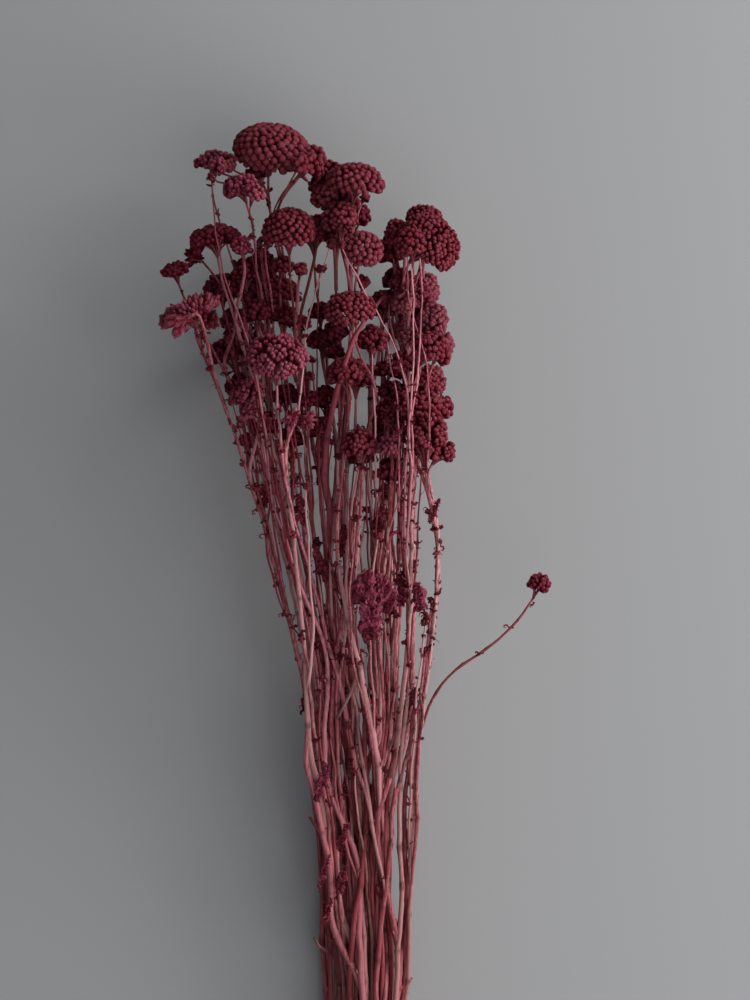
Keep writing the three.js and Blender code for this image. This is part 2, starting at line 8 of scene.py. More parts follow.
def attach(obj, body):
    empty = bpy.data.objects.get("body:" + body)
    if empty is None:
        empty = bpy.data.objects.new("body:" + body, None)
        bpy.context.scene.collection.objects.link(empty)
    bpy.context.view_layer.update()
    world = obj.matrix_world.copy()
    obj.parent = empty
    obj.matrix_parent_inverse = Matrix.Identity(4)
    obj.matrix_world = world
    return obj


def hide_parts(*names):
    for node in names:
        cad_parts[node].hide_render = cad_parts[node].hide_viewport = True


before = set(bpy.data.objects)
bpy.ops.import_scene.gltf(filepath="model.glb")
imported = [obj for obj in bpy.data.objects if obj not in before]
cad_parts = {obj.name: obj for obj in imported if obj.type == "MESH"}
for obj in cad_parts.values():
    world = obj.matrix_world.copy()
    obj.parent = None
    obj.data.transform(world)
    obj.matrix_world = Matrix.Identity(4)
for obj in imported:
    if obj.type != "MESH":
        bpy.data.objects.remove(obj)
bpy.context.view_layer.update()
mm = 0.001
fullTurn = 2 * math.pi
goldenTurn = math.pi * (3 - math.sqrt(5))
skyward = Vector((0, 0, 1))
noise.seed_set(4)    # without a seed noise_vector follows the clock
print("frame loaded:", len(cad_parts), "nodes")


# Materials

class Value:
    def __init__(self, paint, socket):
        self.paint = paint
        self.socket = socket

    def math(self, operation, first, second):
        return self.paint.node("Math", {"operation": operation}, {0: first, 1: second})

    def __add__(self, other):
        return self.math("ADD", self, other)

    def __radd__(self, other):
        return self.math("ADD", other, self)

    def __sub__(self, other):
        return self.math("SUBTRACT", self, other)

    def __rsub__(self, other):
        return self.math("SUBTRACT", other, self)

    def __mul__(self, other):
        return self.math("MULTIPLY", self, other)


class Paint:
    def __init__(self, name):
        self.material = bpy.data.materials.new(name)
        self.material.use_nodes = True
        self.tree = self.material.node_tree
        self.shader = self.tree.nodes["Principled BSDF"]

    def feed(self, socket, value):
        if isinstance(value, Value):
            self.tree.links.new(value.socket, socket)
        else:
            socket.default_value = value

    # settings go first, then the values or links of the sockets
    def node(self, kind, settings, inputs, output=0):
        made = self.tree.nodes.new("ShaderNode" + kind)
        for key, value in settings.items():
            setattr(made, key, value)
        for key, value in inputs.items():
            self.feed(made.inputs[key], value)
        return Value(self, made.outputs[output])

    def places(self):
        return self.node("TexCoord", {}, {}, "Object")

    def stretched(self, scale):
        return self.node("Mapping", {}, {"Vector": self.places(), "Scale": scale})

    def attribute(self, name):
        return self.node("Attribute", {"attribute_name": name}, {}, "Fac")

    def grain(self, where, scale, detail=3.0, roughness=0.6):
        inputs = {"Vector": where, "Scale": scale, "Detail": detail, "Roughness": roughness}
        return self.node("TexNoise", {}, inputs, "Fac")

    # 0 along the edges of small scales and 1 on them
    def scales(self, scale, edge=0.16):
        inputs = {"Vector": self.places(), "Scale": scale}
        fromEdge = self.node("TexVoronoi", {"feature": "DISTANCE_TO_EDGE"}, inputs, "Distance")
        return self.steps(fromEdge, 0.0, edge)

    def steps(self, value, low, high):
        inputs = {"Value": value, "From Min": low, "From Max": high}
        return self.node("MapRange", {"interpolation_type": "SMOOTHSTEP"}, inputs)

    def mix(self, amount, one, other):
        return self.node("Mix", {"data_type": "RGBA"}, {"Factor": amount, 6: one, 7: other}, 2)

    def bump(self, height, strength, distance):
        inputs = {"Height": height, "Strength": strength, "Distance": distance}
        return self.node("Bump", {}, inputs, "Normal")

    def finish(self, colour, roughness, normal, gloss=0.15):
        self.feed(self.shader.inputs["Base Color"], colour)
        self.feed(self.shader.inputs["Roughness"], roughness)
        self.feed(self.shader.inputs["Normal"], normal)
        self.shader.inputs["Specular IOR Level"].default_value = gloss
        return self.material


def colour(red, green, blue):
    return (red, green, blue, 1)


stemLook = {
    "rosy": colour(0.4, 0.135, 0.155),
    "tan": colour(0.37, 0.17, 0.163),
    "highRosy": colour(0.6, 0.215, 0.265),
    "highTan": colour(0.56, 0.28, 0.285),
    "brown": colour(0.22, 0.04, 0.046),
    "wine": colour(0.25, 0.034, 0.054),
    "scar": colour(0.07, 0.02, 0.022),
    "lightFrom": -0.12,    # metres along the bunch between the low colours and the high ones, which are paler: partly the stems' own colour, partly painted light that lifts the shade among the upper stems
    "lightTo": 0.08,
    "wineFrom": 0.27,      # metres along it between bark and the wine red of the tops
    "wineTo": 0.52,
    "relief": 0.75,
}


def stemPaint():
    look = stemLook
    paint = Paint("dyed_stem")
    streaks = paint.grain(paint.stretched((1, 0.045, 1)), 1400, 4, 0.7)
    broad = paint.grain(paint.stretched((1, 0.2, 1)), 160, 2)
    fine = paint.grain(paint.places(), 2600, 3, 0.7)
    tone = paint.attribute("tone")
    paleAndPaintedShade = paint.attribute("tip")
    height = paint.node("SeparateXYZ", {}, {0: paint.places()}, "Y")
    faded = paint.steps(tone + broad - 0.5, 0.35, 0.75)
    low = paint.mix(faded, look["rosy"], look["tan"])
    high = paint.mix(faded, look["highRosy"], look["highTan"])
    # paler higher up the bunch, partly the stems' own colour and partly painted light
    light = paint.mix(paint.steps(height, look["lightFrom"], look["lightTo"]), low, high)
    # a stem painted paler shows more of the light colours and less wine; below zero it is painted darker, as
    # painted shade
    barked = paint.steps(streaks + tone * 0.4 + paleAndPaintedShade * 0.3 - 0.2, 0.34, 0.68)
    bark = paint.mix(barked, look["brown"], light)
    upper = paint.steps(height + broad * 0.1 + tone * 0.22 - paleAndPaintedShade * 0.3, look["wineFrom"], look["wineTo"])
    dyed = paint.mix(upper * 0.9, bark, look["wine"])
    worn = paint.mix(paint.steps(fine, 0.62, 0.8) * 0.35, dyed, light)
    scars = paint.steps(paint.attribute("knot") * broad * 1.8, 0.25, 0.9) * 0.6
    return paint.finish(
        colour=paint.mix(scars, worn, look["scar"]),
        roughness=0.66 + fine * 0.25,
        normal=paint.bump(streaks * 0.8 + fine * 0.3, look["relief"], 0.0005),
        gloss=0.04,
    )


# for each colour of head: the deepest colour, which is painted shade at a bud's foot as well as the dark
# lines between its florets; the bud's own colour; and its scurf, lighter on the tops as a painted highlight
budLooks = {
    "flower": {
        "deep": colour(0.085, 0.003, 0.008),
        "body": colour(0.188, 0.013, 0.026),
        "scurfAndHighlight": colour(0.34, 0.09, 0.118),
    },
    # painted shade: darker copies of the flower colours for the heads that lie in shade
    "flower_dark": {
        "deep": colour(0.055, 0.002, 0.006),
        "body": colour(0.162, 0.009, 0.024),
        "scurfAndHighlight": colour(0.32, 0.062, 0.095),
    },
    "flower_pink": {
        "deep": colour(0.1, 0.004, 0.014),
        "body": colour(0.262, 0.026, 0.054),
        "scurfAndHighlight": colour(0.44, 0.135, 0.185),
    },
}


def budPaint(name, look):
    paint = Paint(name + "_buds")
    grains = paint.grain(paint.places(), 1900, 4, 0.75)
    coarse = paint.grain(paint.places(), 700, 2)
    tip = paint.attribute("tip")
    tone = paint.attribute("tone")
    # painted light and shade: a bud is painted lighter towards its top and darker towards its foot
    topLitFootShaded = paint.steps(tip + coarse * 0.4 + tone * 0.3, 0.3, 1.15)
    body = paint.mix(topLitFootShaded, look["deep"], look["body"])
    # flecks of scurf, gathered on the bud tops as a painted highlight
    scurfAndHighlightFlecks = paint.steps(grains + tip * 0.3 + tone * 0.16, 0.66, 1.0)
    scurfAndHighlighted = paint.mix(scurfAndHighlightFlecks * 0.8, body, look["scurfAndHighlight"])
    scales = paint.scales(1000)
    return paint.finish(
        colour=paint.mix((1 - scales) * 0.35, scurfAndHighlighted, look["deep"]),
        roughness=0.72 + grains * 0.2,
        normal=paint.bump(grains * 0.7 + coarse * 0.4 + scales * 0.6, 0.9, 0.0006),
        gloss=0.05,
    )


def leafPaint(name, dark, light):
    paint = Paint(name)
    veins = paint.grain(paint.places(), 1300, 4, 0.7)
    tone = paint.attribute("tone")
    body = paint.mix(paint.steps(veins + tone * 0.4 - 0.2, 0.3, 0.75), dark, light)
    return paint.finish(colour=body, roughness=0.74 + veins * 0.2, normal=paint.bump(veins, 0.7, 0.0005))


def twinePaint():
    paint = Paint("jute_twine")
    fibres = paint.grain(paint.stretched((0.3, 1, 1)), 3200, 5, 0.75)
    patches = paint.grain(paint.places(), 260, 2)
    body = paint.mix(paint.steps(fibres, 0.3, 0.72), colour(0.23, 0.14, 0.065), colour(0.62, 0.46, 0.28))
    aged = paint.mix(patches * 0.3, body, colour(0.36, 0.24, 0.13))
    return paint.finish(colour=aged, roughness=0.85 + fibres * 0.1, normal=paint.bump(fibres, 0.8, 0.0005))


# finishes that mix two colours by one grain
grainLooks = {
    "pale_pith": {"colours": [colour(0.42, 0.25, 0.2), colour(0.62, 0.5, 0.42)], "mixed": 1,
                  "scale": 2200, "detail": 4, "rough": (0.8, 0.1), "relief": (0.6, 0.0003)},
    "wine_pedicel": {"colours": [colour(0.07, 0.012, 0.02), colour(0.27, 0.06, 0.075)], "mixed": 1,
                     "scale": 1500, "detail": 3, "rough": (0.7, 0.15), "relief": (0.5, 0.0003)},
    "pale_floor": {"colours": [colour(0.36, 0.36, 0.364), colour(0.335, 0.335, 0.343)], "mixed": 0.15,
                   "scale": 9, "detail": 2, "rough": (0.9, 0.05), "relief": (0.05, 0.001)},
}


def grainPaint(name):
    look = grainLooks[name]
    paint = Paint(name)
    grain = paint.grain(paint.places(), look["scale"], look["detail"])
    body = paint.mix(grain * look["mixed"], *look["colours"])
    even, rougher = look["rough"]
    relief = paint.bump(grain, *look["relief"])
    return paint.finish(colour=body, roughness=even + grain * rougher, normal=relief)


stemMaterial = stemPaint()
pithMaterial = grainPaint("pale_pith")
pedicelMaterial = grainPaint("wine_pedicel")
floorMaterial = grainPaint("pale_floor")
budMaterials = {name: budPaint(name, look) for name, look in budLooks.items()}
leafMaterial = leafPaint("shrivelled_leaf", colour(0.07, 0.005, 0.01), colour(0.24, 0.034, 0.055))
featherMaterial = leafPaint("magenta_leaf", colour(0.1, 0.007, 0.018), colour(0.33, 0.06, 0.105))
twineMaterial = twinePaint()
print("materials made")


# Pieces and tubes

floorGap = 0.05 * mm    # nothing goes lower than this over the surface that the bunch lies on


def makePiece(name, bm, materials, replaced=()):
    for face in bm.faces:
        face.smooth = True
    for corner in bm.verts:
        corner.co.z = max(corner.co.z, floorGap)
    mesh = bpy.data.meshes.new(name)
    bm.to_mesh(mesh)
    bm.free()
    for material in materials:
        mesh.materials.append(material)
    piece = bpy.data.objects.new(name, mesh)
    bpy.context.scene.collection.objects.link(piece)
    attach(piece, "root")
    if replaced:
        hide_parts(*replaced)


# tone varies from part to part; tip is how near a bud's top, which is painted light on top and painted shade
# at the foot, and on a stem how much paler it is painted, which below zero is painted shade; knot is how
# scarred
def newMesh():
    bm = bmesh.new()
    for name in ("tone", "tip", "knot"):
        bm.verts.layers.float.new(name)
    return bm


def between(first, last, part):
    return first + (last - first) * part


def anyPlace(rng, size):
    return Vector((rng.random(), rng.random(), rng.random())) * size


def sideways(around):
    return Vector((math.cos(around), math.sin(around), 0))


# square to a heading, turned round it by an angle
def squareTo(heading, angle):
    return Quaternion(heading, angle) @ heading.orthogonal().normalized()


def headingAt(points, i):
    return (points[min(i + 1, len(points) - 1)] - points[max(i - 1, 0)]).normalized()


def lengthsAlong(points):
    walked = [0.0]
    for i in range(1, len(points)):
        walked.append(walked[-1] + (points[i] - points[i - 1]).length)
    return walked


# frames that turn as little as they can along a line of points
def turnsAlong(points):
    turns = []
    for i in range(len(points)):
        heading = headingAt(points, i)
        if turns:
            turns.append((turns[-1] @ skyward).rotation_difference(heading) @ turns[-1])
        else:
            turns.append(skyward.rotation_difference(heading))
    return turns


scratch = bpy.data.meshes.new("scratch")


# a closed tube made by extruding one ring from point to point; rib lifts every second corner, and the
# materials are those of its side and of its first end
def sweep(whole, points, radii, sides, rib=0.0, tone=0.5, knots=None, pale=0, materials=(0, 0)):
    turns = turnsAlong(points)
    bm = newMesh()
    ring = bmesh.ops.create_circle(bm, cap_ends=True, segments=sides, radius=1)["verts"]
    startFace = ring[0].link_faces[0]
    bmesh.ops.reverse_faces(bm, faces=[startFace])
    for corner in ring[::2]:
        corner.co *= 1 + rib
    rings = [ring]
    edges = list(startFace.edges)
    last = Matrix.Identity(4)
    for i, point in enumerate(points):
        if i > 0:
            grown = bmesh.ops.extrude_edge_only(bm, edges=edges)["geom"]
            ring = [part for part in grown if isinstance(part, bmesh.types.BMVert)]
            edges = [part for part in grown if isinstance(part, bmesh.types.BMEdge)]
            edges = [edge for edge in edges if all(corner in ring for corner in edge.verts)]
            rings.append(ring)
        place = Matrix.LocRotScale(point, turns[i], Vector((1, 1, 1)) * radii[i])
        move = place @ last.inverted()
        for corner in ring:
            corner.co = move @ corner.co
        last = place
    bmesh.ops.contextual_create(bm, geom=edges)
    bmesh.ops.recalc_face_normals(bm, faces=bm.faces)
    for face in bm.faces:
        face.material_index = materials[0]
    startFace.material_index = materials[1]
    layers = bm.verts.layers.float
    for i, ring in enumerate(rings):
        for corner in ring:
            corner[layers["tone"]] = tone
            corner[layers["tip"]] = pale
            corner[layers["knot"]] = knots[i] if knots else 0
    bm.to_mesh(scratch)
    bm.free()
    whole.from_mesh(scratch)


# points of a smooth curve through the given ones, about a step apart
def smoothLine(points, step):
    padded = [2 * points[0] - points[1], *points, 2 * points[-1] - points[-2]]
    made = []
    for i in range(1, len(padded) - 2):
        a, b, c, d = padded[i - 1: i + 3]
        pieces = max(1, round((c - b).length / step))
        for k in range(pieces):
            t = k / pieces
            made.append(0.5 * (2 * b + (c - a) * t + (2 * a - 5 * b + 4 * c - d) * t ** 2
                               + (3 * b - a - 3 * c + d) * t ** 3))
    return [*made, points[-1]]


# Reading the frame

# in mm, apart from the shares
reading = {
    "step": 8,            # between the level cuts through a stem
    "firstCut": 3,        # over its foot
    "foot": 1.2,
    "fit": 1.06,          # of half the narrow side of a cut, because the frame's stems have few sides
    "carries": 1.8,       # how near a head's seat is to the stem that carries it
    "start": 0.3,         # how far inside the seat a line starts
    "neck": 7,
    "neckRadius": 1.0,
    "shared": 0.25,       # of the radius, lost at each cut that another line has used
    "sharedCuts": 2,
    "leastDrop": 0.2,
    "leastLean": 0.3,
}


def mergedCopy(node):
    bm = bmesh.new()
    bm.from_mesh(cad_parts[node].data)
    bmesh.ops.remove_doubles(bm, verts=bm.verts, dist=1e-6)
    return bm


# a head's two poles are its busiest corners; the seat's ring is the smaller one
def readHead(node):
    bm = mergedCopy(node)
    poles = sorted(bm.verts, key=lambda corner: len(corner.link_edges))[-2:]
    poles.sort(key=lambda corner: min(edge.calc_length() for edge in corner.link_edges))
    seat, top = poles[0].co.copy(), poles[1].co.copy()
    lean = (top - seat).normalized()
    half = max(((corner.co - seat) - lean * (corner.co - seat).dot(lean)).length for corner in bm.verts)
    bm.free()
    return {"seat": seat, "lean": lean, "half": half, "tall": (top - seat).length}


# sorted by place, so that each run adds the same numbers in the same order
def inOrder(corners):
    return sorted(corners, key=lambda corner: (round(corner.co.x, 7), round(corner.co.z, 7)))


# the closed outlines where a level plane across the bunch cuts a stem
def outlinesAt(bm, height):
    geometry = [*bm.verts, *bm.edges, *bm.faces]
    cut = bmesh.ops.bisect_plane(bm, geom=geometry, plane_co=(0, height, 0), plane_no=(0, 1, 0), dist=1e-7)
    corners = {part for part in cut["geom_cut"] if isinstance(part, bmesh.types.BMVert)}
    outlines = []
    for first in inOrder(corners):
        if first not in corners:
            continue
        corners.discard(first)
        waiting, outline = [first], []
        while waiting:
            corner = waiting.pop()
            outline.append(corner)
            for edge in corner.link_edges:
                other = edge.other_vert(corner)
                if other in corners:
                    corners.discard(other)
                    waiting.append(other)
        if len(outline) > 2:
            outlines.append(inOrder(outline))
    return outlines


def measured(outline):
    middle = sum((corner.co for corner in outline), Vector()) / len(outline)
    wide = max(corner.co.x for corner in outline) - min(corner.co.x for corner in outline)
    high = max(corner.co.z for corner in outline) - min(corner.co.z for corner in outline)
    return {"middle": middle, "radius": min(wide, high) / 2 * reading["fit"], "used": False}


def sectionsOf(node):
    bm = mergedCopy(node)
    low = min(corner.co.y for corner in bm.verts)
    high = max(corner.co.y for corner in bm.verts)
    foot = [corner.co.copy() for corner in inOrder(bm.verts) if corner.co.y < low + reading["foot"] * mm]
    levels = []
    height = low + reading["firstCut"] * mm
    while height < high:
        levels.append([measured(outline) for outline in outlinesAt(bm, height)])
        height += reading["step"] * mm
    bm.free()
    return levels, sum(foot, Vector()) / len(foot)


# from a head's seat down its stem, until the foot or until a line that was followed before
def followDown(levels, foot, head):
    seat, lean = head["seat"], head["lean"]
    neck = seat - lean * reading["neck"] * mm
    points = [seat - lean * reading["start"] * mm, neck]
    radii = [reading["neckRadius"] * mm] * 2
    joined = 0
    for sections in reversed(levels):
        if not sections or sections[0]["middle"].y > neck.y - reading["firstCut"] * mm:
            continue
        last = points[-1]
        way = last - points[-2]
        drop = last.y - sections[0]["middle"].y
        if way.y < 0:
            slope = way / min(-reading["leastDrop"] * mm, way.y)
            expected = last - Vector((slope.x, 1, slope.z)) * drop
        else:
            expected = last - lean / max(reading["leastLean"], lean.y) * drop
        nearest = min(sections, key=lambda section: (section["middle"] - expected).length)
        points.append(nearest["middle"])
        radii.append(nearest["radius"] * (1 - reading["shared"] * joined))
        joined += nearest["used"]
        if joined > reading["sharedCuts"]:
            return points, radii, True
        nearest["used"] = True
    return [*points, foot], [*radii, radii[-1]], False


heads = {node[5:]: readHead(node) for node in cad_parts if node.startswith("head_")}


def readLines():
    lines = []
    for node in sorted(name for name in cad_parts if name.startswith("stem_")):
        bm = mergedCopy(node)
        corners = [corner.co.copy() for corner in bm.verts]
        bm.free()
        carried = [
            name for name, head in heads.items()
            if min((corner - head["seat"]).length for corner in corners) < reading["carries"] * mm
        ]
        carried.sort(key=lambda name: name != node[5:])
        levels, foot = sectionsOf(node)
        for name in carried:
            points, radii, isBranch = followDown(levels, foot, heads[name])
            lines.append({"stem": node, "head": name, "points": points, "radii": radii, "isBranch": isBranch})
    return lines


lines = readLines()
mainLines = [line for line in lines if line["head"] != "sprig"]
print("stem lines read:", len(lines))


# Stems

stemShape = {
    "sides": 9,
    "step": 4.5,              # mm
    "rib": 0.14,
    "rounds": 5,              # smoothing of the way before the bends at its knots go in
    "waver": 0.3,
    "waverScale": 55,
    "bareEnds": 3,            # points at either end without a knot
    "firstKnot": (8, 20),     # mm
    "knotEvery": 24,          # mm
    "knotGaps": (0.6, 1.5),   # of that
    "knotSizes": (0.4, 1),
    "knotSwell": 0.28,
    "knotBend": 0.8,
    "bendFade": 0.45,         # less at the points beside the knot
    "lumps": 0.06,
    "lumpScale": 160,
    "lowSize": 0.9,
    "highSize": 0.56,
    "slimming": (-40, 190),   # mm along the bunch between the two sizes
    "slimLines": {"sprig": 0.7, "high_left": 0.75},
}

# what a dropped leaf or twig leaves at a knot
stubShape = {
    "share": 0.6,             # of the knots that have one
    "length": (1.0, 2.6),
    "thick": (0.3, 0.5),      # of the stem's radius
    "foot": 0.6,              # of the stem's radius from its middle
    "sides": 5,
    "lowest": 2,              # mm over the surface
}


def relaxed(points, rounds):
    for _ in range(rounds):
        inner = [(points[i - 1] + points[i] * 2 + points[i + 1]) / 4 for i in range(1, len(points) - 1)]
        points = [points[0], *inner, points[-1]]
    return points


# the radii of a rough line carried over to a finer one
def finerRadii(line, fine):
    places = lengthsAlong(line["points"])
    walked = lengthsAlong(fine)
    radii = []
    at = 0
    for length in walked:
        length *= places[-1] / walked[-1]
        while at < len(places) - 2 and places[at + 1] < length:
            at += 1
        part = (length - places[at]) / max(1e-9, places[at + 1] - places[at])
        radii.append(between(line["radii"][at], line["radii"][at + 1], min(1, part)))
    return radii


# gives a rough line its fine points, their radii and its knots
def refine(line, rng):
    shape = stemShape
    fine = relaxed(smoothLine(line["points"], shape["step"] * mm), shape["rounds"])
    radii = finerRadii(line, fine)
    walked = lengthsAlong(fine)
    knots = [0.0] * len(fine)
    knotted = range(shape["bareEnds"], len(fine) - shape["bareEnds"])
    nextKnot = rng.uniform(*shape["firstKnot"])
    for i in knotted:
        if walked[i] / mm > nextKnot:
            knots[i] = rng.uniform(*shape["knotSizes"])
            nextKnot += rng.uniform(*shape["knotGaps"]) * shape["knotEvery"]
    seed = anyPlace(rng, 50)
    for i in knotted:
        if knots[i]:
            aside = Vector((rng.uniform(-1, 1), 0, rng.uniform(-0.6, 0.6))) * shape["knotBend"] * mm
            for k in (-1, 0, 1):
                fine[i + k] = fine[i + k] + aside * (1 - shape["bendFade"] * abs(k))
    for i in range(1, len(fine) - 1):
        waver = noise.noise_vector(fine[i] * shape["waverScale"] + seed) * shape["waver"] * mm
        fine[i] = fine[i] + waver * min(1, i / 4)
        lump = noise.noise(fine[i] * shape["lumpScale"] + seed)
        radii[i] *= 1 + knots[i] * shape["knotSwell"] + shape["lumps"] * lump
    low, high = shape["slimming"]
    for i, point in enumerate(fine):
        part = min(1, max(0, (point.y / mm - low) / (high - low)))
        radii[i] *= between(shape["lowSize"], shape["highSize"], part)
        radii[i] *= shape["slimLines"].get(line.get("head"), 1)
    line.update(fine=fine, fineRadii=radii, knots=knots)


def addKnotStubs(bm, points, radii, knots, rng):
    around = rng.uniform(0, fullTurn)
    for i in range(stemShape["bareEnds"], len(points) - stemShape["bareEnds"]):
        if not knots[i] or rng.random() > stubShape["share"]:
            continue
        around += goldenTurn
        ahead = headingAt(points, i)
        if ahead.y < 0:
            ahead = -ahead
        out = squareTo(ahead, around)
        length = rng.uniform(*stubShape["length"]) * mm
        thick = radii[i] * rng.uniform(*stubShape["thick"])
        base = points[i] + out * radii[i] * stubShape["foot"]
        way = [base, base + (out + ahead * 0.7) * length * 0.5, base + (out * 0.9 + ahead * 1.2) * length]
        if min(point.z for point in way) > stubShape["lowest"] * mm:
            sweep(bm, way, [thick * 1.3, thick, thick * 0.7], stubShape["sides"], 0, rng.random(), [0, 0, 1])


# from its cut end up, so that the cut end is the tube's first end
def sweepStem(bm, line, sides, tone, pale=0, cutMaterial=1):
    points, radii, knots = line["fine"][::-1], line["fineRadii"][::-1], line["knots"][::-1]
    sweep(bm, points, radii, sides, stemShape["rib"], tone, knots, pale, (0, cutMaterial))


def growStems():
    for node in sorted({line["stem"] for line in lines}):
        bm = newMesh()
        for line in [one for one in lines if one["stem"] == node]:
            rng = random.Random(line["head"])
            tone = rng.random()
            refine(line, rng)
            sweepStem(bm, line, stemShape["sides"], tone, cutMaterial=0 if line["isBranch"] else 1)
            addKnotStubs(bm, line["fine"][::-1], line["fineRadii"][::-1], line["knots"][::-1], rng)
        makePiece(node.replace("stem_", "grown_stem_"), bm, [stemMaterial, pithMaterial], [node])


growStems()
print("stems grown:", len(lines), "lines")


# Flower heads

headShape = {
    "spacing": 3.4,       # mm between neighbouring buds
    "radius": 0.48,       # of the spacing
    "length": 1.55,       # of the spacing
    "lengths": (0.88, 1.14),
    "sizes": (0.85, 1.14),
    "gather": 0.14,       # how far buds close up into their groups
    "proud": 0.5,         # how far a bud may stand out or back
    "overhang": 1.24,     # how far the dome goes on past its rim
    "fuller": 0.3,        # mm added to its half width
    "lumps": 0.12,
    "missing": 0.03,
    "loose": 0.2,         # of the spacing, how far a bud strays from its place
    "flat": 1,            # below 1 a head is pressed flat as it lies, so its buds show their length
    "kind": None,         # round, long or petal, or by the length if none is given
    "fans": 0,            # rows of long buds laid over each other, in place of a dome
    "opening": 1.5,       # radians from the middle of a fan to its sides
    # how much lighter a head's buds are painted, as painted light
    "pale": 0,
}

# what differs from head to head: longer buds, wider gaps, paler tops, which are painted light
headWays = {
    "crown": {"spacing": 4.25, "radius": 0.53, "missing": 0, "gather": 0, "proud": 0.15, "lumps": 0.03,
              "fuller": 1.3, "overhang": 1.4, "loose": 0.09},
    "crown_side": {"spacing": 4.2, "gather": 0, "proud": 0.2, "lumps": 0.04, "loose": 0.1},
    "crown_lobe": {"spacing": 4.0, "gather": 0.02, "proud": 0.3, "lumps": 0.06, "loose": 0.12},
    "crown_under": {"spacing": 4.0, "gather": 0.02, "loose": 0.12},
    "high_middle": {"spacing": 4.0, "gather": 0.02, "proud": 0.3, "lumps": 0.06, "loose": 0.1},
    "high_middle_low": {"spacing": 3.9, "gather": 0.04, "loose": 0.14},
    "high_middle_neck": {"spacing": 3.7, "gather": 0.04, "loose": 0.14},
    "facing": {"spacing": 3.7, "radius": 0.5, "gather": 0, "proud": 0.3, "lumps": 0.05, "loose": 0.1,
               "pale": 0.35, "missing": 0},
    "middle_left": {"spacing": 3.6, "radius": 0.5, "gather": 0, "proud": 0.3, "lumps": 0.06, "loose": 0.12,
                    "missing": 0},
    "fan_left": {"kind": "petal", "flat": 0.66, "spacing": 3.6, "radius": 0.47, "length": 2.8, "gather": 0.05,
                 "missing": 0.04, "proud": 1.3, "pale": 0.1},
    "fan_left_low": {"fans": 3, "opening": 1.0, "spacing": 3.6, "radius": 0.6, "length": 2.7, "missing": 0.04,
                     "pale": 0.3},
    "fan_left_side": {"kind": "petal", "spacing": 3.5, "radius": 0.46, "length": 2.5, "gather": 0.05,
                      "pale": 0.2},
    "outer_left": {"flat": 0.6, "spacing": 3.2, "radius": 0.44, "length": 2.1, "missing": 0.06},
    "high_left": {"flat": 0.85, "spacing": 3.4, "radius": 0.46, "length": 2.1, "gather": 0.1, "pale": 0.3},
    "high_left_side": {"spacing": 3.4, "radius": 0.46, "length": 2.2, "pale": 0.3},
    "tiny_left": {"spacing": 2.6, "radius": 0.42, "missing": 0.2, "lumps": 0.3},
    "high_left_low": {"spacing": 3.2, "radius": 0.45, "length": 2.1},
    "below_crown": {"flat": 0.65, "spacing": 3.4, "radius": 0.46, "length": 2.0, "gather": 0.16},
    "crown_low": {"spacing": 3.3, "radius": 0.45, "length": 2.0},
    "wide_left": {"flat": 0.6, "spacing": 3.4, "radius": 0.46, "length": 2.0, "gather": 0.14},
    "small_left": {"fans": 3, "opening": 1.6, "spacing": 3.2, "radius": 0.52, "length": 2.5, "missing": 0.06},
    "dark_left": {"flat": 0.5, "radius": 0.44, "length": 2.2, "gather": 0.12},
    "shaded_left": {"fans": 4, "opening": 1.7, "spacing": 3.3, "radius": 0.5, "length": 2.9, "missing": 0.06},
    "front_left": {"spacing": 3.05, "radius": 0.46, "length": 2.0, "gather": 0.18, "proud": 0.7},
    "low_left": {"spacing": 3.0, "radius": 0.46, "length": 2.0, "gather": 0.18},
    "left_pocket": {"flat": 0.6, "spacing": 3.1, "radius": 0.44, "length": 2.2},
    "droop_one": {"fans": 3, "opening": 1.2, "spacing": 3.1, "radius": 0.42, "length": 2.9, "missing": 0.06},
    "droop_two": {"fans": 3, "opening": 1.3, "spacing": 3.1, "radius": 0.42, "length": 2.9, "missing": 0.06},
    "big_right": {"spacing": 3.0, "radius": 0.48, "length": 1.9, "missing": 0, "gather": 0.08, "lumps": 0.08},
    "big_top": {"spacing": 3.0, "radius": 0.47, "length": 1.9, "gather": 0.1},
    "big_left_part": {"spacing": 3.0, "radius": 0.46, "length": 2.0, "gather": 0.18},
    "front_middle": {"spacing": 3.2, "radius": 0.5, "gather": 0.02, "missing": 0, "lumps": 0.08},
    "lower_right": {"spacing": 3.0, "radius": 0.48, "length": 1.9, "gather": 0.18, "proud": 0.9},
    "cluster_left": {"spacing": 3.0, "radius": 0.46, "length": 1.9, "gather": 0.2, "proud": 0.8},
    "cluster_low": {"spacing": 3.0, "radius": 0.45, "length": 2.1, "gather": 0.16},
    "column_one": {"spacing": 3.0, "length": 1.9, "gather": 0.1, "pale": 1.4},
    "column_two": {"spacing": 3.0, "length": 1.9, "gather": 0.1, "pale": 1.4},
    "column_four": {"spacing": 3.0, "length": 1.9, "gather": 0.1, "pale": 1},
    "column_a": {"spacing": 3.0, "length": 1.8, "pale": 1.4},
    "column_b": {"spacing": 3.0, "length": 1.8, "pale": 1.4},
    "column_d": {"spacing": 3.0, "length": 1.9, "pale": 1.4},
    "upper_right": {"spacing": 3.1, "length": 1.8, "pale": 1.2},
    "inner_right": {"spacing": 3.1, "pale": 0.4},
    "small_right": {"spacing": 3.1, "pale": 0.4},
    "edge_bud": {"spacing": 3.0, "radius": 0.42, "length": 2.2, "gather": 0.2},
    "sprig": {"spacing": 3.0, "radius": 0.46, "length": 1.7},
}

# what differs from colour to colour: the dark heads, painted darker as painted shade, are looser
toneWays = {"flower_dark": {"length": 2.0, "radius": 0.465, "spacing": 3.5, "loose": 0.26}}

pinkHeads = ("fan_left", "front_left", "low_left", "below_crown", "high_left")
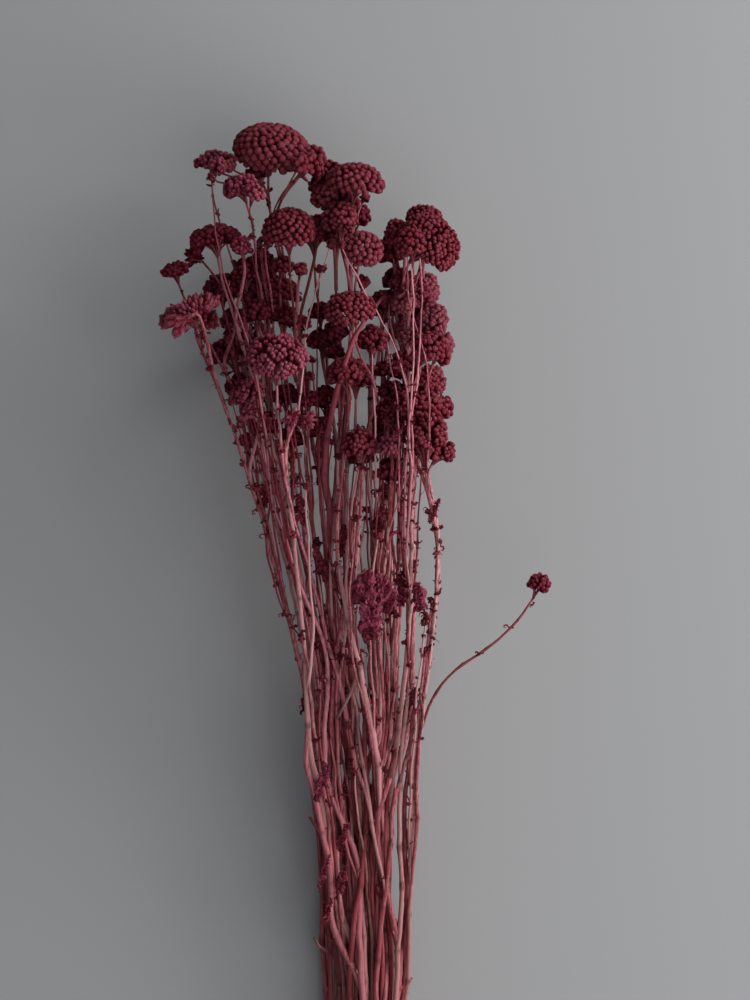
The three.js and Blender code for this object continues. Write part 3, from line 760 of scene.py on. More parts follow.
# these heads are painted with the darker colours, as painted shade
paintedShadeHeads = (
    "wide_left", "small_left", "dark_left", "shaded_left", "under_middle", "dark_middle", "behind_middle",
    "near_middle", "behind_right", "upper_right", "small_right", "inner_right", "shaded_right",
    "drooped_right", "sprig", "rest_left", "rest_right", "back_middle",
)

budShape = {
    "variants": 6,
    "rings": 5,
    "rough": 0.38,
    "roughScale": 2.6,
    "pinch": 0.25,        # how much slimmer the foot is
    # where the shoulder is, how pointed the top is, and the segments round it
    "kinds": {"round": (0.66, 0, 8), "long": (0.72, 0, 7), "petal": (0.6, 0.2, 7)},
    "longFrom": 1.8,      # times the spacing, past which a bud is a long one
}

domeShape = {
    "strips": 60,         # that its area is added up in
    "packing": 0.88,
    "fewest": 7,
    "groupsPerMm": 0.7,
    "lumpScale": 95,
    "hollows": 0.4,
    "stalkFoot": 0.35,    # of the rim's height, where the stalks seem to come from
    "stray": (0.09, 0.08),
    "depths": (-1.6, 0.8),
}

fanShape = {
    "lowest": 1.08,       # of the half width, the reach of the lowest row
    "shorter": 0.24,      # lost by each row over it
    "gap": 2.2,           # bud radii from one bud to the next
    "stray": 0.14,
    "rowGap": 1.9,        # mm
    "rowStray": 0.8,
    "reach": (0.76, 1.08),
    "tilt": 0.32,         # that each row turns up more than the one under it
    "tiltFrom": -0.3,
    "tiltStray": 0.12,
}

# short rays part at the seat, and each carries the stalks of the buds nearest to it
rayShape = {
    "buds": 9,            # to each ray
    "fewest": 3,
    "most": 13,
    "spread": 0.56,       # of the half width
    "height": 0.75,       # of the rim's height
    "domed": 0.35,
    "root": -1.4,         # mm, inside the stem
    "radius": 0.58,       # mm, at the seat
    "thinner": 0.16,
    "sides": 5,
    "step": 3,            # mm
    "stalkRadii": (0.4, 0.34, 0.48),
    "stalkSides": 3,
    "leastStalk": 0.5,
}


def headTone(name):
    if name in pinkHeads:
        return "flower_pink"
    return "flower_dark" if name in paintedShadeHeads else "flower"


# an egg with a tapering foot, widest at its shoulder and rough on top, as wide and as long as one
def budMesh(rng, shoulder, point, segments):
    bm = newMesh()
    tipLayer = bm.verts.layers.float["tip"]
    bmesh.ops.create_uvsphere(bm, u_segments=segments, v_segments=budShape["rings"], radius=1)
    shift = anyPlace(rng, 30)
    for corner in bm.verts:
        up = corner.co.z
        level = shoulder + up * (1 - shoulder if up > 0 else shoulder)
        around = Vector((corner.co.x, corner.co.y, 0))
        rough = noise.noise(corner.co * budShape["roughScale"] + shift) * budShape["rough"] * level
        swell = 1 + rough - (0 if up > -0.1 else budShape["pinch"]) - point * max(0, up)
        # tip rises towards the top, where the paint turns it into painted light, and falls to nothing at the
        # foot, painted shade
        corner[tipLayer] = max(0.0, up + rough * 0.6)
        corner.co = around * swell + Vector((0, 0, level + rough * 0.1))
    bmesh.ops.recalc_face_normals(bm, faces=bm.faces)
    mesh = bpy.data.meshes.new("bud")
    bm.to_mesh(mesh)
    bm.free()
    return mesh


budRandom = random.Random(7)
budMeshes = {
    kind: [budMesh(budRandom, *form) for _ in range(budShape["variants"])]
    for kind, form in budShape["kinds"].items()
}


def addCopy(bm, mesh, place, tone):
    mesh.attributes["tone"].data.foreach_set("value", [tone] * len(mesh.vertices))
    mesh.transform(place)
    bm.from_mesh(mesh)
    mesh.transform(place.inverted())


# angles from the top and round it, spread evenly over a half ball
def raySpread(count):
    return [(math.acos(1 - (i + 0.5) / count), i * goldenTurn) for i in range(count)]


# the same over a dome, as the seeds of a flower head are, from its top to past its rim
def domePlaces(half, rise, way, rng):
    strips = domeShape["strips"]
    spacing = way["spacing"] * mm
    slip = way["loose"] * spacing
    overhang = way["overhang"]
    areas = [0.0]
    for k in range(strips):
        angle = (k + 0.5) / strips * overhang * math.pi / 2
        strip = math.hypot(half * math.cos(angle), rise * math.sin(angle)) * overhang * math.pi / 2 / strips
        areas.append(areas[-1] + 2 * math.pi * half * math.sin(angle) * strip)
    count = max(domeShape["fewest"], round(areas[-1] / (spacing * spacing * domeShape["packing"])))
    places = []
    at = 0
    for i in range(count):
        wanted = areas[-1] * (i + 0.5) / count
        while areas[at + 1] < wanted:
            at += 1
        part = (at + (wanted - areas[at]) / (areas[at + 1] - areas[at])) / strips
        angle = part * overhang * math.pi / 2
        places.append((angle + rng.uniform(-slip, slip) / half,
                       i * goldenTurn + rng.uniform(-slip, slip) / (half * max(0.25, math.sin(angle)))))
    return places


def laidBud(way, top, heading, rng):
    length = way["length"] * way["spacing"] * mm * rng.uniform(*way["lengths"])
    return {"top": top, "heading": heading, "size": rng.uniform(*way["sizes"]), "length": length}


# rows of long buds that open like fans, each row shorter and higher than the one under it
def fannedBuds(way, spread, middle, upward, rng):
    shape = fanShape
    upward = (upward - skyward * upward.z).normalized()
    across = upward.cross(skyward)
    buds = []
    for row in range(way["fans"]):
        reach = spread * (shape["lowest"] - shape["shorter"] * row)
        width = way["spacing"] * way["radius"] * shape["gap"] * mm
        count = max(3, round(2 * way["opening"] * reach / width))
        for i in range(count):
            if rng.random() < way["missing"]:
                continue
            stray = rng.uniform(-shape["stray"], shape["stray"])
            angle = ((i + 0.5) / count * 2 - 1) * way["opening"] + stray
            out = skyward * math.cos(angle) + across * math.sin(angle)
            lift = (row - 1) * shape["rowGap"] * mm + rng.uniform(-shape["rowStray"], shape["rowStray"]) * mm
            top = skyward * middle + out * reach * rng.uniform(*shape["reach"]) + upward * lift
            tilt = shape["tilt"] * row + shape["tiltFrom"]
            tilt += rng.uniform(-shape["tiltStray"], shape["tiltStray"])
            heading = (out + upward * tilt).normalized()
            buds.append(laidBud(way, top, heading, rng))
    return buds


def domedBuds(way, half, spread, rim, rise, upward, rng):
    shape = domeShape
    shift = anyPlace(rng, 40)
    groups = []
    for angle, around in raySpread(max(4, round(half / mm * shape["groupsPerMm"]))):
        groups.append(sideways(around) * spread * math.sin(angle) + skyward * (rim + rise * math.cos(angle)))
    buds = []
    for angle, around in domePlaces(spread, rise, way, rng):
        if rng.random() < way["missing"]:
            continue
        out = sideways(around)
        place = out * spread * math.sin(angle) + skyward * (rim + rise * math.cos(angle))
        bulge = noise.noise(place * shape["lumpScale"] + shift) - rng.uniform(0, shape["hollows"])
        lump = 1 + way["lumps"] * bulge
        place = Vector((place.x * lump, place.y * lump, between(rim, place.z, lump)))
        place = place.lerp(min(groups, key=lambda group: (group - place).length), way["gather"])
        normal = out * math.sin(angle) / half + skyward * (math.cos(angle) / max(rise, half * 0.5))
        place -= upward * place.dot(upward) * (1 - way["flat"])
        away = place - skyward * (rim * shape["stalkFoot"])
        heading = (normal.normalized() * 0.5 * way["flat"] + away.normalized() * 0.9).normalized()
        beside, outwards = shape["stray"]
        heading = (heading + rng.uniform(-beside, beside) * out.cross(heading)
                   + rng.uniform(-outwards, outwards) * out).normalized()
        place += heading * rng.uniform(*shape["depths"]) * way["proud"] * mm
        buds.append(laidBud(way, place, heading, rng))
    return buds


# the head is made upright round its seat, and turn lays it down along its lean
def growHead(name, tone, head, rng):
    bm = newMesh()
    way = {**headShape, **toneWays.get(tone, {}), **headWays.get(name, {})}
    turn = skyward.rotation_difference(head["lean"])
    seat = head["seat"]
    spread = head["half"] + way["fuller"] * mm
    rim = head["tall"] * 0.5
    rise = head["tall"] - rim - 0.2 * mm
    upward = turn.inverted() @ skyward
    if way["fans"]:
        buds = fannedBuds(way, spread, rim * 0.5, upward, rng)
    else:
        buds = domedBuds(way, head["half"], spread, rim, rise, upward, rng)

    def addTube(points, radii, sides):
        placed = [seat + turn @ point for point in points]
        sweep(bm, placed, [radius * mm for radius in radii], sides, 0, rng.random(), materials=(1, 1))

    shape = rayShape
    count = max(shape["fewest"], min(shape["most"], round(len(buds) / shape["buds"])))
    rays = []
    for angle, around in raySpread(count):
        height = rim * shape["height"] + rise * shape["domed"] * math.cos(angle)
        rays.append(sideways(around) * spread * shape["spread"] * math.sin(angle) + skyward * height)
    for end in rays:
        bend = Vector((end.x * 0.35, end.y * 0.35, end.z * 0.5))
        points = smoothLine([Vector((0, 0, shape["root"] * mm)), bend, end], shape["step"] * mm)
        radii = [shape["radius"] - shape["thinner"] * i / len(points) for i in range(len(points))]
        addTube(points, radii, shape["sides"])
    shade = rng.random()
    for bud in buds:
        foot = bud["top"] - bud["heading"] * bud["length"]
        bud["foot"] = foot
        ray = min(rays, key=lambda end: (end - foot).length)
        elbow = ray.lerp(foot, 0.55) - Vector((0, 0, 0.25 * (ray - foot).length))
        if (ray - foot).length > shape["leastStalk"] * mm:
            points, radii = [ray, elbow, foot + bud["heading"] * 0.25 * bud["length"]], shape["stalkRadii"]
            if tone == "flower_dark":       # hidden in the shade, so its stalks go straight
                points, radii = points[::2], radii[::2]
            addTube(points, radii, shape["stalkSides"])
    kind = way["kind"]
    if not kind:
        kind = "petal" if way["fans"] else "long" if way["length"] > budShape["longFrom"] else "round"
    for bud in buds:
        radius = way["radius"] * way["spacing"] * mm * bud["size"]
        facing = skyward.rotation_difference(bud["heading"])
        place = Matrix.LocRotScale(bud["foot"], facing, Vector((radius, radius, bud["length"])))
        spin = Matrix.Rotation(rng.uniform(0, fullTurn), 4, "Z")
        whole = Matrix.LocRotScale(seat, turn, None) @ place @ spin
        # the head's pale lifts the bud tone, painting the tops lighter as painted light
        addCopy(bm, rng.choice(budMeshes[kind]), whole, 0.35 * shade + 0.65 * rng.random() + way["pale"])
    return bm


def growHeads():
    total = 0
    for name, head in heads.items():
        look = headTone(name)
        bm = growHead(name, look, head, random.Random("head " + name))
        total += len(bm.faces)
        makePiece("corymb_" + name, bm, [budMaterials[look], pedicelMaterial], ["head_" + name])
    print("heads grown:", len(heads), "with", total, "faces")


growHeads()


# Curled scraps of leaf

scrapShape = {
    "every": (3, 13),        # mm between them on the upper stems
    "from": -10,             # mm along the bunch
    "sizes": (0.5, 1.4),
    "clumpScale": 16,
    "bareMiddle": 0.26,      # the higher, the more of a stem stays bare
    "bareSides": -0.12,
    "sides": (-38, 22),      # mm across, beyond which scraps are thick
    "lowest": 4,             # mm over the surface
    "bunches": (1, 1, 2, 3),
    "tuft": (4, 7),          # scraps at the tip of a stem
    "tuftSizes": (0.8, 1.5),
}

# how many there are of each, their strips, and each strip's length, thickness, spread, curl and bends
scrapKinds = {
    "tuft": {"kinds": 4, "strips": (3, 5), "reach": (1.4, 3.6), "thick": 0.42, "spread": 1.1,
             "curl": (0.8, 2.2), "bends": 4},
    "hook": {"kinds": 8, "strips": (1, 3), "reach": (2.6, 5.6), "thick": 0.3, "spread": 0.7,
             "curl": (1.2, 3.2), "bends": 5},
    "thread": {"kinds": 1, "strips": 1, "reach": (4, 7), "thick": 0.17, "spread": 0.6,
               "curl": (0.5, 1.5), "bends": 4},
    "pinna": {"kinds": 6, "strips": 2, "reach": (4.4, 6.2), "thick": 0.56, "spread": 0.16,
              "curl": (0.5, 1.5), "bends": 4},
}


# a few thin strips that start together and roll up towards their ends
def scrapMesh(rng, strips, reach, thick, spread, curl, bends):
    bm = newMesh()
    for _ in range(strips):
        around = rng.uniform(0, fullTurn)
        heading = Vector((math.cos(around) * spread, math.sin(around) * spread, rng.uniform(0.3, 1)))
        heading.normalize()
        side = squareTo(heading, rng.uniform(0, fullTurn))
        length = rng.uniform(*reach) * mm
        tightness = rng.uniform(*curl)
        points = [Vector((0, 0, -0.2 * mm))]
        for k in range(bends):
            heading = Quaternion(side, tightness * k / bends) @ heading
            points.append(points[-1] + heading * length / bends)
        wide = thick * rng.uniform(0.7, 1.3) * mm
        radii = [wide * (0.6 + 0.6 * math.sin(math.pi * min(1, k / bends + 0.2))) for k in range(bends)]
        sweep(bm, points, [*radii, wide * 0.3], 4, 1.1, rng.random())
    mesh = bpy.data.meshes.new("scrap")
    bm.to_mesh(mesh)
    bm.free()
    return mesh


def scrapMeshesOf(kind, rng):
    shape = dict(scrapKinds[kind])
    kinds, strips = shape.pop("kinds"), shape.pop("strips")
    made = []
    for _ in range(kinds):
        count = rng.randint(*strips) if isinstance(strips, tuple) else strips
        made.append(scrapMesh(rng, count, **shape))
    return made


scrapRandom = random.Random(21)
scrapMeshes = [mesh for kind in ("tuft", "hook", "thread") for mesh in scrapMeshesOf(kind, scrapRandom)]
pinnaMeshes = scrapMeshesOf("pinna", random.Random(33))


def makeScraps(name, bm):
    if bm.faces:
        makePiece(name, bm, [leafMaterial])
    else:
        bm.free()


def addLeafBit(bm, meshes, place, heading, size, twist, rng):
    turn = skyward.rotation_difference(heading.normalized())
    spin = Matrix.Rotation(rng.uniform(*twist), 4, "Z")
    whole = Matrix.LocRotScale(place, turn, Vector((size, size, size))) @ spin
    addCopy(bm, rng.choice(meshes), whole, rng.random())


def addScrap(bm, place, ahead, out, size, rng):
    heading = ahead * rng.uniform(0.5, 1.6) + out * rng.uniform(0.25, 0.8)
    addLeafBit(bm, scrapMeshes, place, heading, size, (0, fullTurn), rng)


def addTuft(bm, points, rng):
    place, ahead = points[0], (points[0] - points[2]).normalized()
    for _ in range(rng.randint(*scrapShape["tuft"])):
        side = squareTo(ahead, rng.uniform(0, fullTurn))
        spot = place - ahead * rng.uniform(0, 2) * mm
        addScrap(bm, spot, ahead, side, rng.uniform(*scrapShape["tuftSizes"]), rng)


# along a line of points, from a lowest place along the bunch and with gaps between two lengths in mm
def scrapsAlong(bm, points, radii, rng, lowest, every, sizes=scrapShape["sizes"]):
    walked = 0.0
    nextAt = rng.uniform(0, every[1])
    around = rng.uniform(0, fullTurn)
    clump = anyPlace(rng, 30)
    low, high = scrapShape["sides"]
    for i in range(1, len(points) - 1):
        step = points[i] - points[i - 1]
        walked += step.length / mm
        if walked < nextAt or points[i].y < lowest * mm:
            continue
        nextAt = walked + every[0] + (every[1] - every[0]) * rng.random() ** 2 * 1.6
        bare = scrapShape["bareMiddle" if low < points[i].x / mm < high else "bareSides"]
        if noise.noise(points[i] * scrapShape["clumpScale"] + clump) < bare:
            continue
        around += goldenTurn + rng.uniform(-0.5, 0.5)
        ahead = step.normalized() if step.y > 0 else -step.normalized()
        out = squareTo(ahead, around)
        place = points[i] + out * radii[i] * 0.8
        if place.z > scrapShape["lowest"] * mm:
            for _ in range(rng.choice(scrapShape["bunches"])):
                slide = ahead * rng.uniform(-1.5, 1.5) * mm
                addScrap(bm, place + slide, ahead, out, rng.uniform(*sizes), rng)


def growScraps():
    total = 0
    for node in sorted({line["stem"] for line in lines}):
        bm = newMesh()
        rng = random.Random("scraps " + node)
        for line in [one for one in lines if one["stem"] == node]:
            scrapsAlong(bm, line["fine"], line["fineRadii"], rng, scrapShape["from"], scrapShape["every"])
        total += len(bm.faces)
        makeScraps(node.replace("stem_", "leaf_scraps_"), bm)
    print("leaf scraps:", total, "faces")


growScraps()


# Side heads and twigs that the frame leaves out

# place and size in the photograph's pixels, then the lean, the tone and how far forward it is wanted, in mm
sideHeads = {
    "crown_side": [(315, 157), 27, 24, (0.5, 0.5, 0.5), "flower", 66],
    "crown_under": [(303, 168), 20, 18, (0.3, 0.3, 0.6), "flower", 84],
    "crown_back": [(258, 169), 30, 25, (-0.2, 1, 0), "flower_dark", 40],
    "crown_low": [(256, 197), 25, 22, (0.3, 1, 0.4), "flower_pink", 96],
    "high_left_side": [(226, 163), 26, 26, (0.6, 0.8, 0.3), "flower_pink", 64],
    "tiny_left": [(197, 163), 13, 12, (-0.9, 0.4, 0.2), "flower_dark", 62],
    "high_left_low": [(218, 169), 20, 16, (-0.2, -0.3, 0.8), "flower_pink", 72],
    "lobe_left": [(322, 186), 28, 34, (-0.4, 0.8, 0.3), "flower", 70],
    "lobe_middle": [(340, 220), 38, 40, (-0.1, 0.8, 0.5), "flower", 84],
    "lobe_right": [(360, 216), 26, 32, (0.3, 1, 0), "flower_dark", 62],
    "left_pocket": [(242, 248), 22, 26, (-0.2, 1, 0.2), "flower_pink", 84],
    "back_left": [(250, 288), 34, 38, (0, 1, 0), "flower_dark", 34],
    "pocket_one": [(282, 266), 26, 24, (0.1, 0.9, 0.3), "flower", 66],
    "pocket_two": [(302, 271), 15, 19, (0.2, 1, 0.2), "flower", 86],
    "star_bud": [(364, 282), 18, 16, (0.2, 0.8, 0.3), "flower_dark", 72],
    "centre_right": [(388, 370), 34, 26, (0.1, 1, 0), "flower_dark", 60],
    "edge_bud": [(443, 450), 30, 32, (0.6, 0.8, 0.2), "flower", 66],
    "droop_one": [(291, 424), 22, 24, (-0.3, -0.8, 0.5), "flower_pink", 96],
    "droop_two": [(310, 421), 24, 20, (0.9, -0.2, 0.4), "flower_pink", 88],
    "droop_three": [(248, 412), 20, 20, (-0.6, 0.5, 0.5), "flower_pink", 80],
    "dark_round": [(309, 400), 26, 22, (0, 1, 0.3), "flower_dark", 70],
    "back_low": [(246, 440), 22, 22, (-0.2, 1, 0), "flower_dark", 40],
    "column_one": [(424, 287), 34, 40, (0.2, 1, 0), "flower", 58],
    "column_two": [(433, 320), 34, 44, (0.3, 1, 0), "flower", 62],
    "column_three": [(418, 350), 34, 36, (0.1, 1, 0), "flower_dark", 50],
    "column_four": [(430, 381), 32, 42, (0.3, 1, 0), "flower", 56],
    "cluster_left": [(391, 414), 42, 36, (-0.2, 1, 0.3), "flower", 74],
    "cluster_low": [(390, 446), 30, 24, (-0.1, 0.8, 0.4), "flower_pink", 92],
    "cluster_under": [(393, 466), 26, 28, (0, 1, 0.1), "flower_dark", 60],
    "cluster_edge": [(426, 450), 32, 30, (0.2, 1, 0.2), "flower", 70],
    "low_middle_under": [(359, 458), 26, 20, (0, 1, 0), "flower_dark", 60],
    "pocket_three": [(356, 376), 36, 40, (0, 1, 0.2), "flower_dark", 72],
    "big_left_part": [(397, 233), 28, 34, (-0.3, 1, 0.2), "flower", 72],
    "big_under": [(393, 256), 24, 16, (-0.1, 1, 0), "flower_dark", 60],
    "big_top": [(425, 217), 38, 30, (0, 1, 0.2), "flower", 66],
    "high_middle_low": [(345, 186), 34, 26, (0, 1, 0.5), "flower", 66],
    "high_middle_neck": [(346, 203), 30, 22, (0.1, 0.7, 0.7), "flower", 72],
    "lone_bud": [(366, 199), 9, 9, (0.5, 0.8, 0.2), "flower", 84],
    "right_back": [(398, 278), 34, 32, (0.1, 1, 0), "flower_dark", 44],
    "right_fill": [(418, 384), 32, 30, (0.3, 1, 0), "flower_dark", 48],
    "right_mid": [(400, 330), 26, 26, (-0.1, 1, 0.1), "flower_dark", 40],
    "middle_back": [(320, 310), 26, 26, (0, 1, 0), "flower_dark", 36],
    "middle_low": [(335, 352), 22, 22, (-0.2, 1, 0), "flower_dark", 60],
    "left_low_back": [(285, 360), 26, 26, (0, 1, 0), "flower_dark", 40],
    "right_cluster": [(408, 406), 36, 34, (0, 1, 0.2), "flower", 84],
    "right_cluster_low": [(420, 436), 34, 30, (0.3, 1, 0.2), "flower_dark", 80],
    "under_back": [(300, 320), 22, 24, (0, 1, 0), "flower_dark", 18],
    "under_right": [(372, 330), 22, 24, (0.1, 1, 0), "flower_dark", 20],
    "fan_left_low": [(180, 328), 42, 30, (-0.75, -0.55, 0.3), "flower_pink", 90],
    "fan_left_side": [(209, 318), 30, 24, (0.5, 0.5, 0.4), "flower_dark", 72],
    "left_mass_one": [(262, 262), 30, 34, (0.1, 1, 0), "flower_dark", 44],
    "left_mass_two": [(268, 300), 32, 36, (0, 1, 0), "flower_dark", 30],
    "left_mass_three": [(232, 318), 28, 30, (-0.2, 1, 0), "flower_dark", 40],
    "left_mass_four": [(250, 345), 30, 34, (0, 1, 0), "flower_dark", 44],
    "left_mass_five": [(238, 386), 30, 34, (-0.1, 1, 0), "flower_dark", 46],
    "left_mass_six": [(286, 395), 30, 30, (0, 1, 0), "flower_dark", 50],
    "upper_mass": [(318, 226), 28, 32, (0.1, 1, 0), "flower_dark", 50],
    "middle_mass": [(336, 332), 30, 30, (-0.1, 1, 0.1), "flower_dark", 56],
    "right_mass_one": [(386, 302), 32, 32, (0.2, 1, 0), "flower_dark", 50],
    "right_mass_two": [(372, 340), 30, 32, (0, 1, 0.1), "flower_dark", 62],
    "column_top": [(402, 282), 30, 24, (-0.1, 1, 0.2), "flower", 62],
    "column_low": [(442, 408), 26, 32, (0.3, 1, 0), "flower", 60],
    "arc_one": [(331, 172), 26, 26, (0.4, 0.6, 0.5), "flower", 72],
    "arc_two": [(325, 198), 30, 32, (-0.3, 0.5, 0.7), "flower", 78],
    "big_middle": [(410, 246), 34, 36, (-0.1, 0.8, 0.5), "flower", 78],
    "big_core": [(430, 238), 44, 40, (0.2, 0.8, 0.5), "flower", 76],
    "column_a": [(404, 304), 28, 28, (0, 0.7, 0.7), "flower", 66],
    "column_b": [(410, 334), 30, 30, (0, 0.7, 0.7), "flower", 66],
    "column_c": [(403, 362), 28, 28, (0, 0.7, 0.7), "flower_dark", 66],
    "column_d": [(441, 346), 28, 36, (0.4, 0.9, 0.3), "flower", 70],
    "column_e": [(428, 404), 30, 28, (0.1, 0.7, 0.7), "flower", 70],
    "pocket_four": [(346, 372), 36, 40, (0, 1, 0.1), "flower_dark", 44],
    "pocket_five": [(326, 398), 32, 36, (0, 1, 0), "flower_dark", 44],
    "left_mass_seven": [(264, 424), 30, 34, (-0.1, 1, 0), "flower_dark", 54],
    "left_mass_eight": [(292, 438), 28, 32, (0, 1, 0), "flower_dark", 56],
    "left_mass_nine": [(320, 428), 26, 32, (0, 1, 0.1), "flower_dark", 60],
    "under_left": [(262, 330), 22, 24, (-0.1, 1, 0), "flower_dark", 20],
    "left_mass_ten": [(246, 270), 30, 34, (0, 1, 0.2), "flower_dark", 58],
    "left_mass_eleven": [(284, 290), 30, 32, (0.1, 1, 0.1), "flower_dark", 58],
    "left_mass_twelve": [(256, 312), 32, 34, (-0.1, 1, 0.1), "flower_dark", 62],
    "left_mass_thirteen": [(228, 290), 26, 28, (-0.3, 1, 0), "flower_dark", 46],
    "left_mass_fourteen": [(268, 282), 30, 34, (0, 1, 0), "flower_dark", 24],
    "left_mass_fifteen": [(240, 340), 26, 30, (-0.1, 1, 0), "flower_dark", 28],
}

# where the photograph's pixels lie in the scene
photo = {"across": 365, "down": 1000, "pixelsPerMm": 2, "x": 4.3, "y": -142.7}

# in mm, apart from the shares
sideShape = {
    "tries": 60,
    "lowest": 1,
    "highest": 115,
    "overlap": 0.66,      # of both sizes, the least way between two heads
    "crowding": 6,
    "seat": 0.55,         # of its reach under its middle
    "nearDrop": 14,
    "nearThick": 0.5,
    "drop": (34, 60),     # how far down a twig leaves its stem
    "thick": 0.85,
    "neck": 4.5,
    "scraps": (6, 14),
    "scrapsFrom": -300,
}


# a place in the photograph's pixels, with its height in mm
def fromPhoto(across, down, height):
    x = (across - photo["across"]) / photo["pixelsPerMm"] + photo["x"]
    y = (photo["down"] - down) / photo["pixelsPerMm"] + photo["y"]
    return Vector((x, y, height)) * mm


def middleOf(head, part=0.5):
    return head["seat"] + head["lean"] * head["tall"] * part


# each side head goes where it touches the others least, as near as it can to the height that is wanted
def placeSideHeads():
    shape = sideShape
    taken = [(middleOf(head), max(head["half"], head["tall"] * 0.5)) for head in heads.values()]
    placed = {}
    for name, (at, wide, tall, lean, tone, forward) in sideHeads.items():
        lean = Vector(lean).normalized()
        half = wide / 2 / photo["pixelsPerMm"] * mm
        reach = tall / photo["pixelsPerMm"] * mm
        best = None
        for step in range(shape["tries"]):
            height = forward + (step + 1) // 2 * 2 * (1 if step % 2 else -1)
            if not shape["lowest"] + half / mm < height < shape["highest"] - half / mm:
                continue
            middle = fromPhoto(*at, height)
            gap = min((middle - other).length - (half + radius) * shape["overlap"] for other, radius in taken)
            score = min(0, gap) * shape["crowding"] - abs(height - forward) * mm
            if best is None or score > best[0]:
                best = (score, middle)
        middle = best[1]
        taken.append((middle, half))
        seat = middle - lean * reach * shape["seat"]
        placed[name] = {"seat": seat, "lean": lean, "half": half, "tall": reach, "tone": tone}
    return placed


# these have short thin twigs
nearTwigs = (
    "high_left_side", "high_left_low", "tiny_left", "crown_low", "lone_bud", "crown_side", "crown_under",
    "crown_back", "high_middle_neck",
)


# the point of a grown stem that a side twig can best leave from
def hostPoint(seat, drop):
    best = None
    for line in mainLines:
        for i in range(4, len(line["fine"]) - 1):
            point = line["fine"][i]
            if abs(seat.y - drop - point.y) > 5 * mm:
                continue
            away = math.hypot(point.x - seat.x, (point.z - seat.z) * 0.7)
            if best is None or away < best[0]:
                best = (away, point, (line["fine"][i - 1] - line["fine"][i + 1]).normalized())
    return best and best[1:]


def twigTo(bm, seat, lean, drop, rng, thick):
    host = hostPoint(seat, drop)
    while not host:
        drop += 4 * mm
        host = hostPoint(seat, drop)
    start, ahead = host
    neck = seat - lean * sideShape["neck"] * mm
    gap = (neck - start).length
    points = [
        start,
        start + ahead * gap * 0.3 + (neck - start) * 0.08,
        start.lerp(neck, 0.62) + ahead * gap * 0.1 + Vector((rng.uniform(-1, 1), 0, rng.uniform(-1, 1))) * mm,
        neck,
        seat - lean * 0.4 * mm,
    ]
    fine = relaxed(smoothLine(points, 4 * mm), 1)
    radii = [thick * (1.15 - 0.3 * i / len(fine)) * mm for i in range(len(fine))]
    sweep(bm, fine, radii, 6, 0.1, rng.random())
    return fine, radii


def growSideHeads(placed):
    shape = sideShape
    for name, head in placed.items():
        rng = random.Random("side " + name)
        bm = growHead(name, head["tone"], head, rng)
        makePiece("side_corymb_" + name, bm, [budMaterials[head["tone"]], pedicelMaterial])
        bm = newMesh()
        if name in nearTwigs:
            drop, thick = shape["nearDrop"], shape["nearThick"]
        else:
            drop, thick = rng.uniform(*shape["drop"]), shape["thick"]
        fine, radii = twigTo(bm, head["seat"], head["lean"], drop * mm, rng, thick)
        makePiece("side_twig_" + name, bm, [stemMaterial])
        bm = newMesh()
        scrapsAlong(bm, fine, radii, rng, shape["scrapsFrom"], shape["scraps"])
        makeScraps("twig_scraps_" + name, bm)
    print("side heads grown:", len(placed))


placedHeads = placeSideHeads()
growSideHeads(placedHeads)


# Thin stems that fill the bunch

# in mm, apart from the shares and counts
fillShape = {
    "long": 20,             # stems that lie on the others from their cut ends up
    "longStart": (-292, -281),
    "longEnd": (-45, 125),
    "longRadius": (1.25, 0.75),
    "longSizes": (0.85, 1.15),
    "sides": 8,
    "every": 9,
    "drift": 0.12,          # of the bunch's width, from one end to the other
    "sway": 0.03,
    "swayScale": 40,
    "within": (0.02, 0.98),
    "settling": 3,          # rounds in which it sinks into the hollows between stems
    "scraps": (6, 15),
    "scrapsFrom": -60,
    "twigs": 76,            # branches that leave a stem part of the way up
    "twigStart": (-120, 60),
    "twigLength": (60, 190),
    "twigRadius": (0.85, 0.42),
    "twigReach": (3, 9),
    "twigShake": 1.6,
    "shakeScale": 38,
    "twigScraps": (4, 11),
    "twigScrapsFrom": -85,
    "twigScrapSizes": (0.6, 1.2),
}

fillLines = []


def crossing(line, height):
    fine = line["fine"]
    for i in range(1, len(fine)):
        high, low = fine[i - 1], fine[i]
        if low.y <= height <= high.y and high.y > low.y:
            part = (height - low.y) / (high.y - low.y)
            return low.lerp(high, part), line["fineRadii"][i]
    return None


# where the stems cross a level plane across the bunch, with their radii
def crossingsAt(height):
    found = [crossing(line, height) for line in mainLines + fillLines]
    return [one for one in found if one]


def nearestStem(place):
    return min(crossingsAt(place.y), key=lambda one: (one[0] - place).length)[0]


# domes of buds that a stem in front has to clear
domes = [(middleOf(head, 0.45), head["half"], head["tall"]) for head in heads.values()]
domes += [(middleOf(head), head["half"], head["tall"]) for head in placedHeads.values()]
domeGap = 2.6 * mm
highestStem = 113 * mm


def clearOfDomes(place, level):
    for middle, half, tall in domes:
        away = math.hypot(place.x - middle.x, place.y - middle.y)
        size = max(half, tall * 0.55) + domeGap
        if away < size:
            level = max(level, middle.z + math.sqrt(size * size - away * away))
    return min(level, highestStem)


# the height at which a stem of this radius lies on those already there
def restingHeight(found, across, radius, least):
    height = least
    for point, other in found:
        reach = other + radius
        aside = abs(point.x - across)
        if aside < reach:
            height = max(height, point.z + math.sqrt(reach * reach - aside * aside))
    return height


def settle(points):
    for i in range(1, len(points) - 1):
        level = (points[i - 1].z + points[i + 1].z) / 2
        points[i].z = max(points[i].z * 0.6 + level * 0.4, points[i].z - 0.6 * mm)


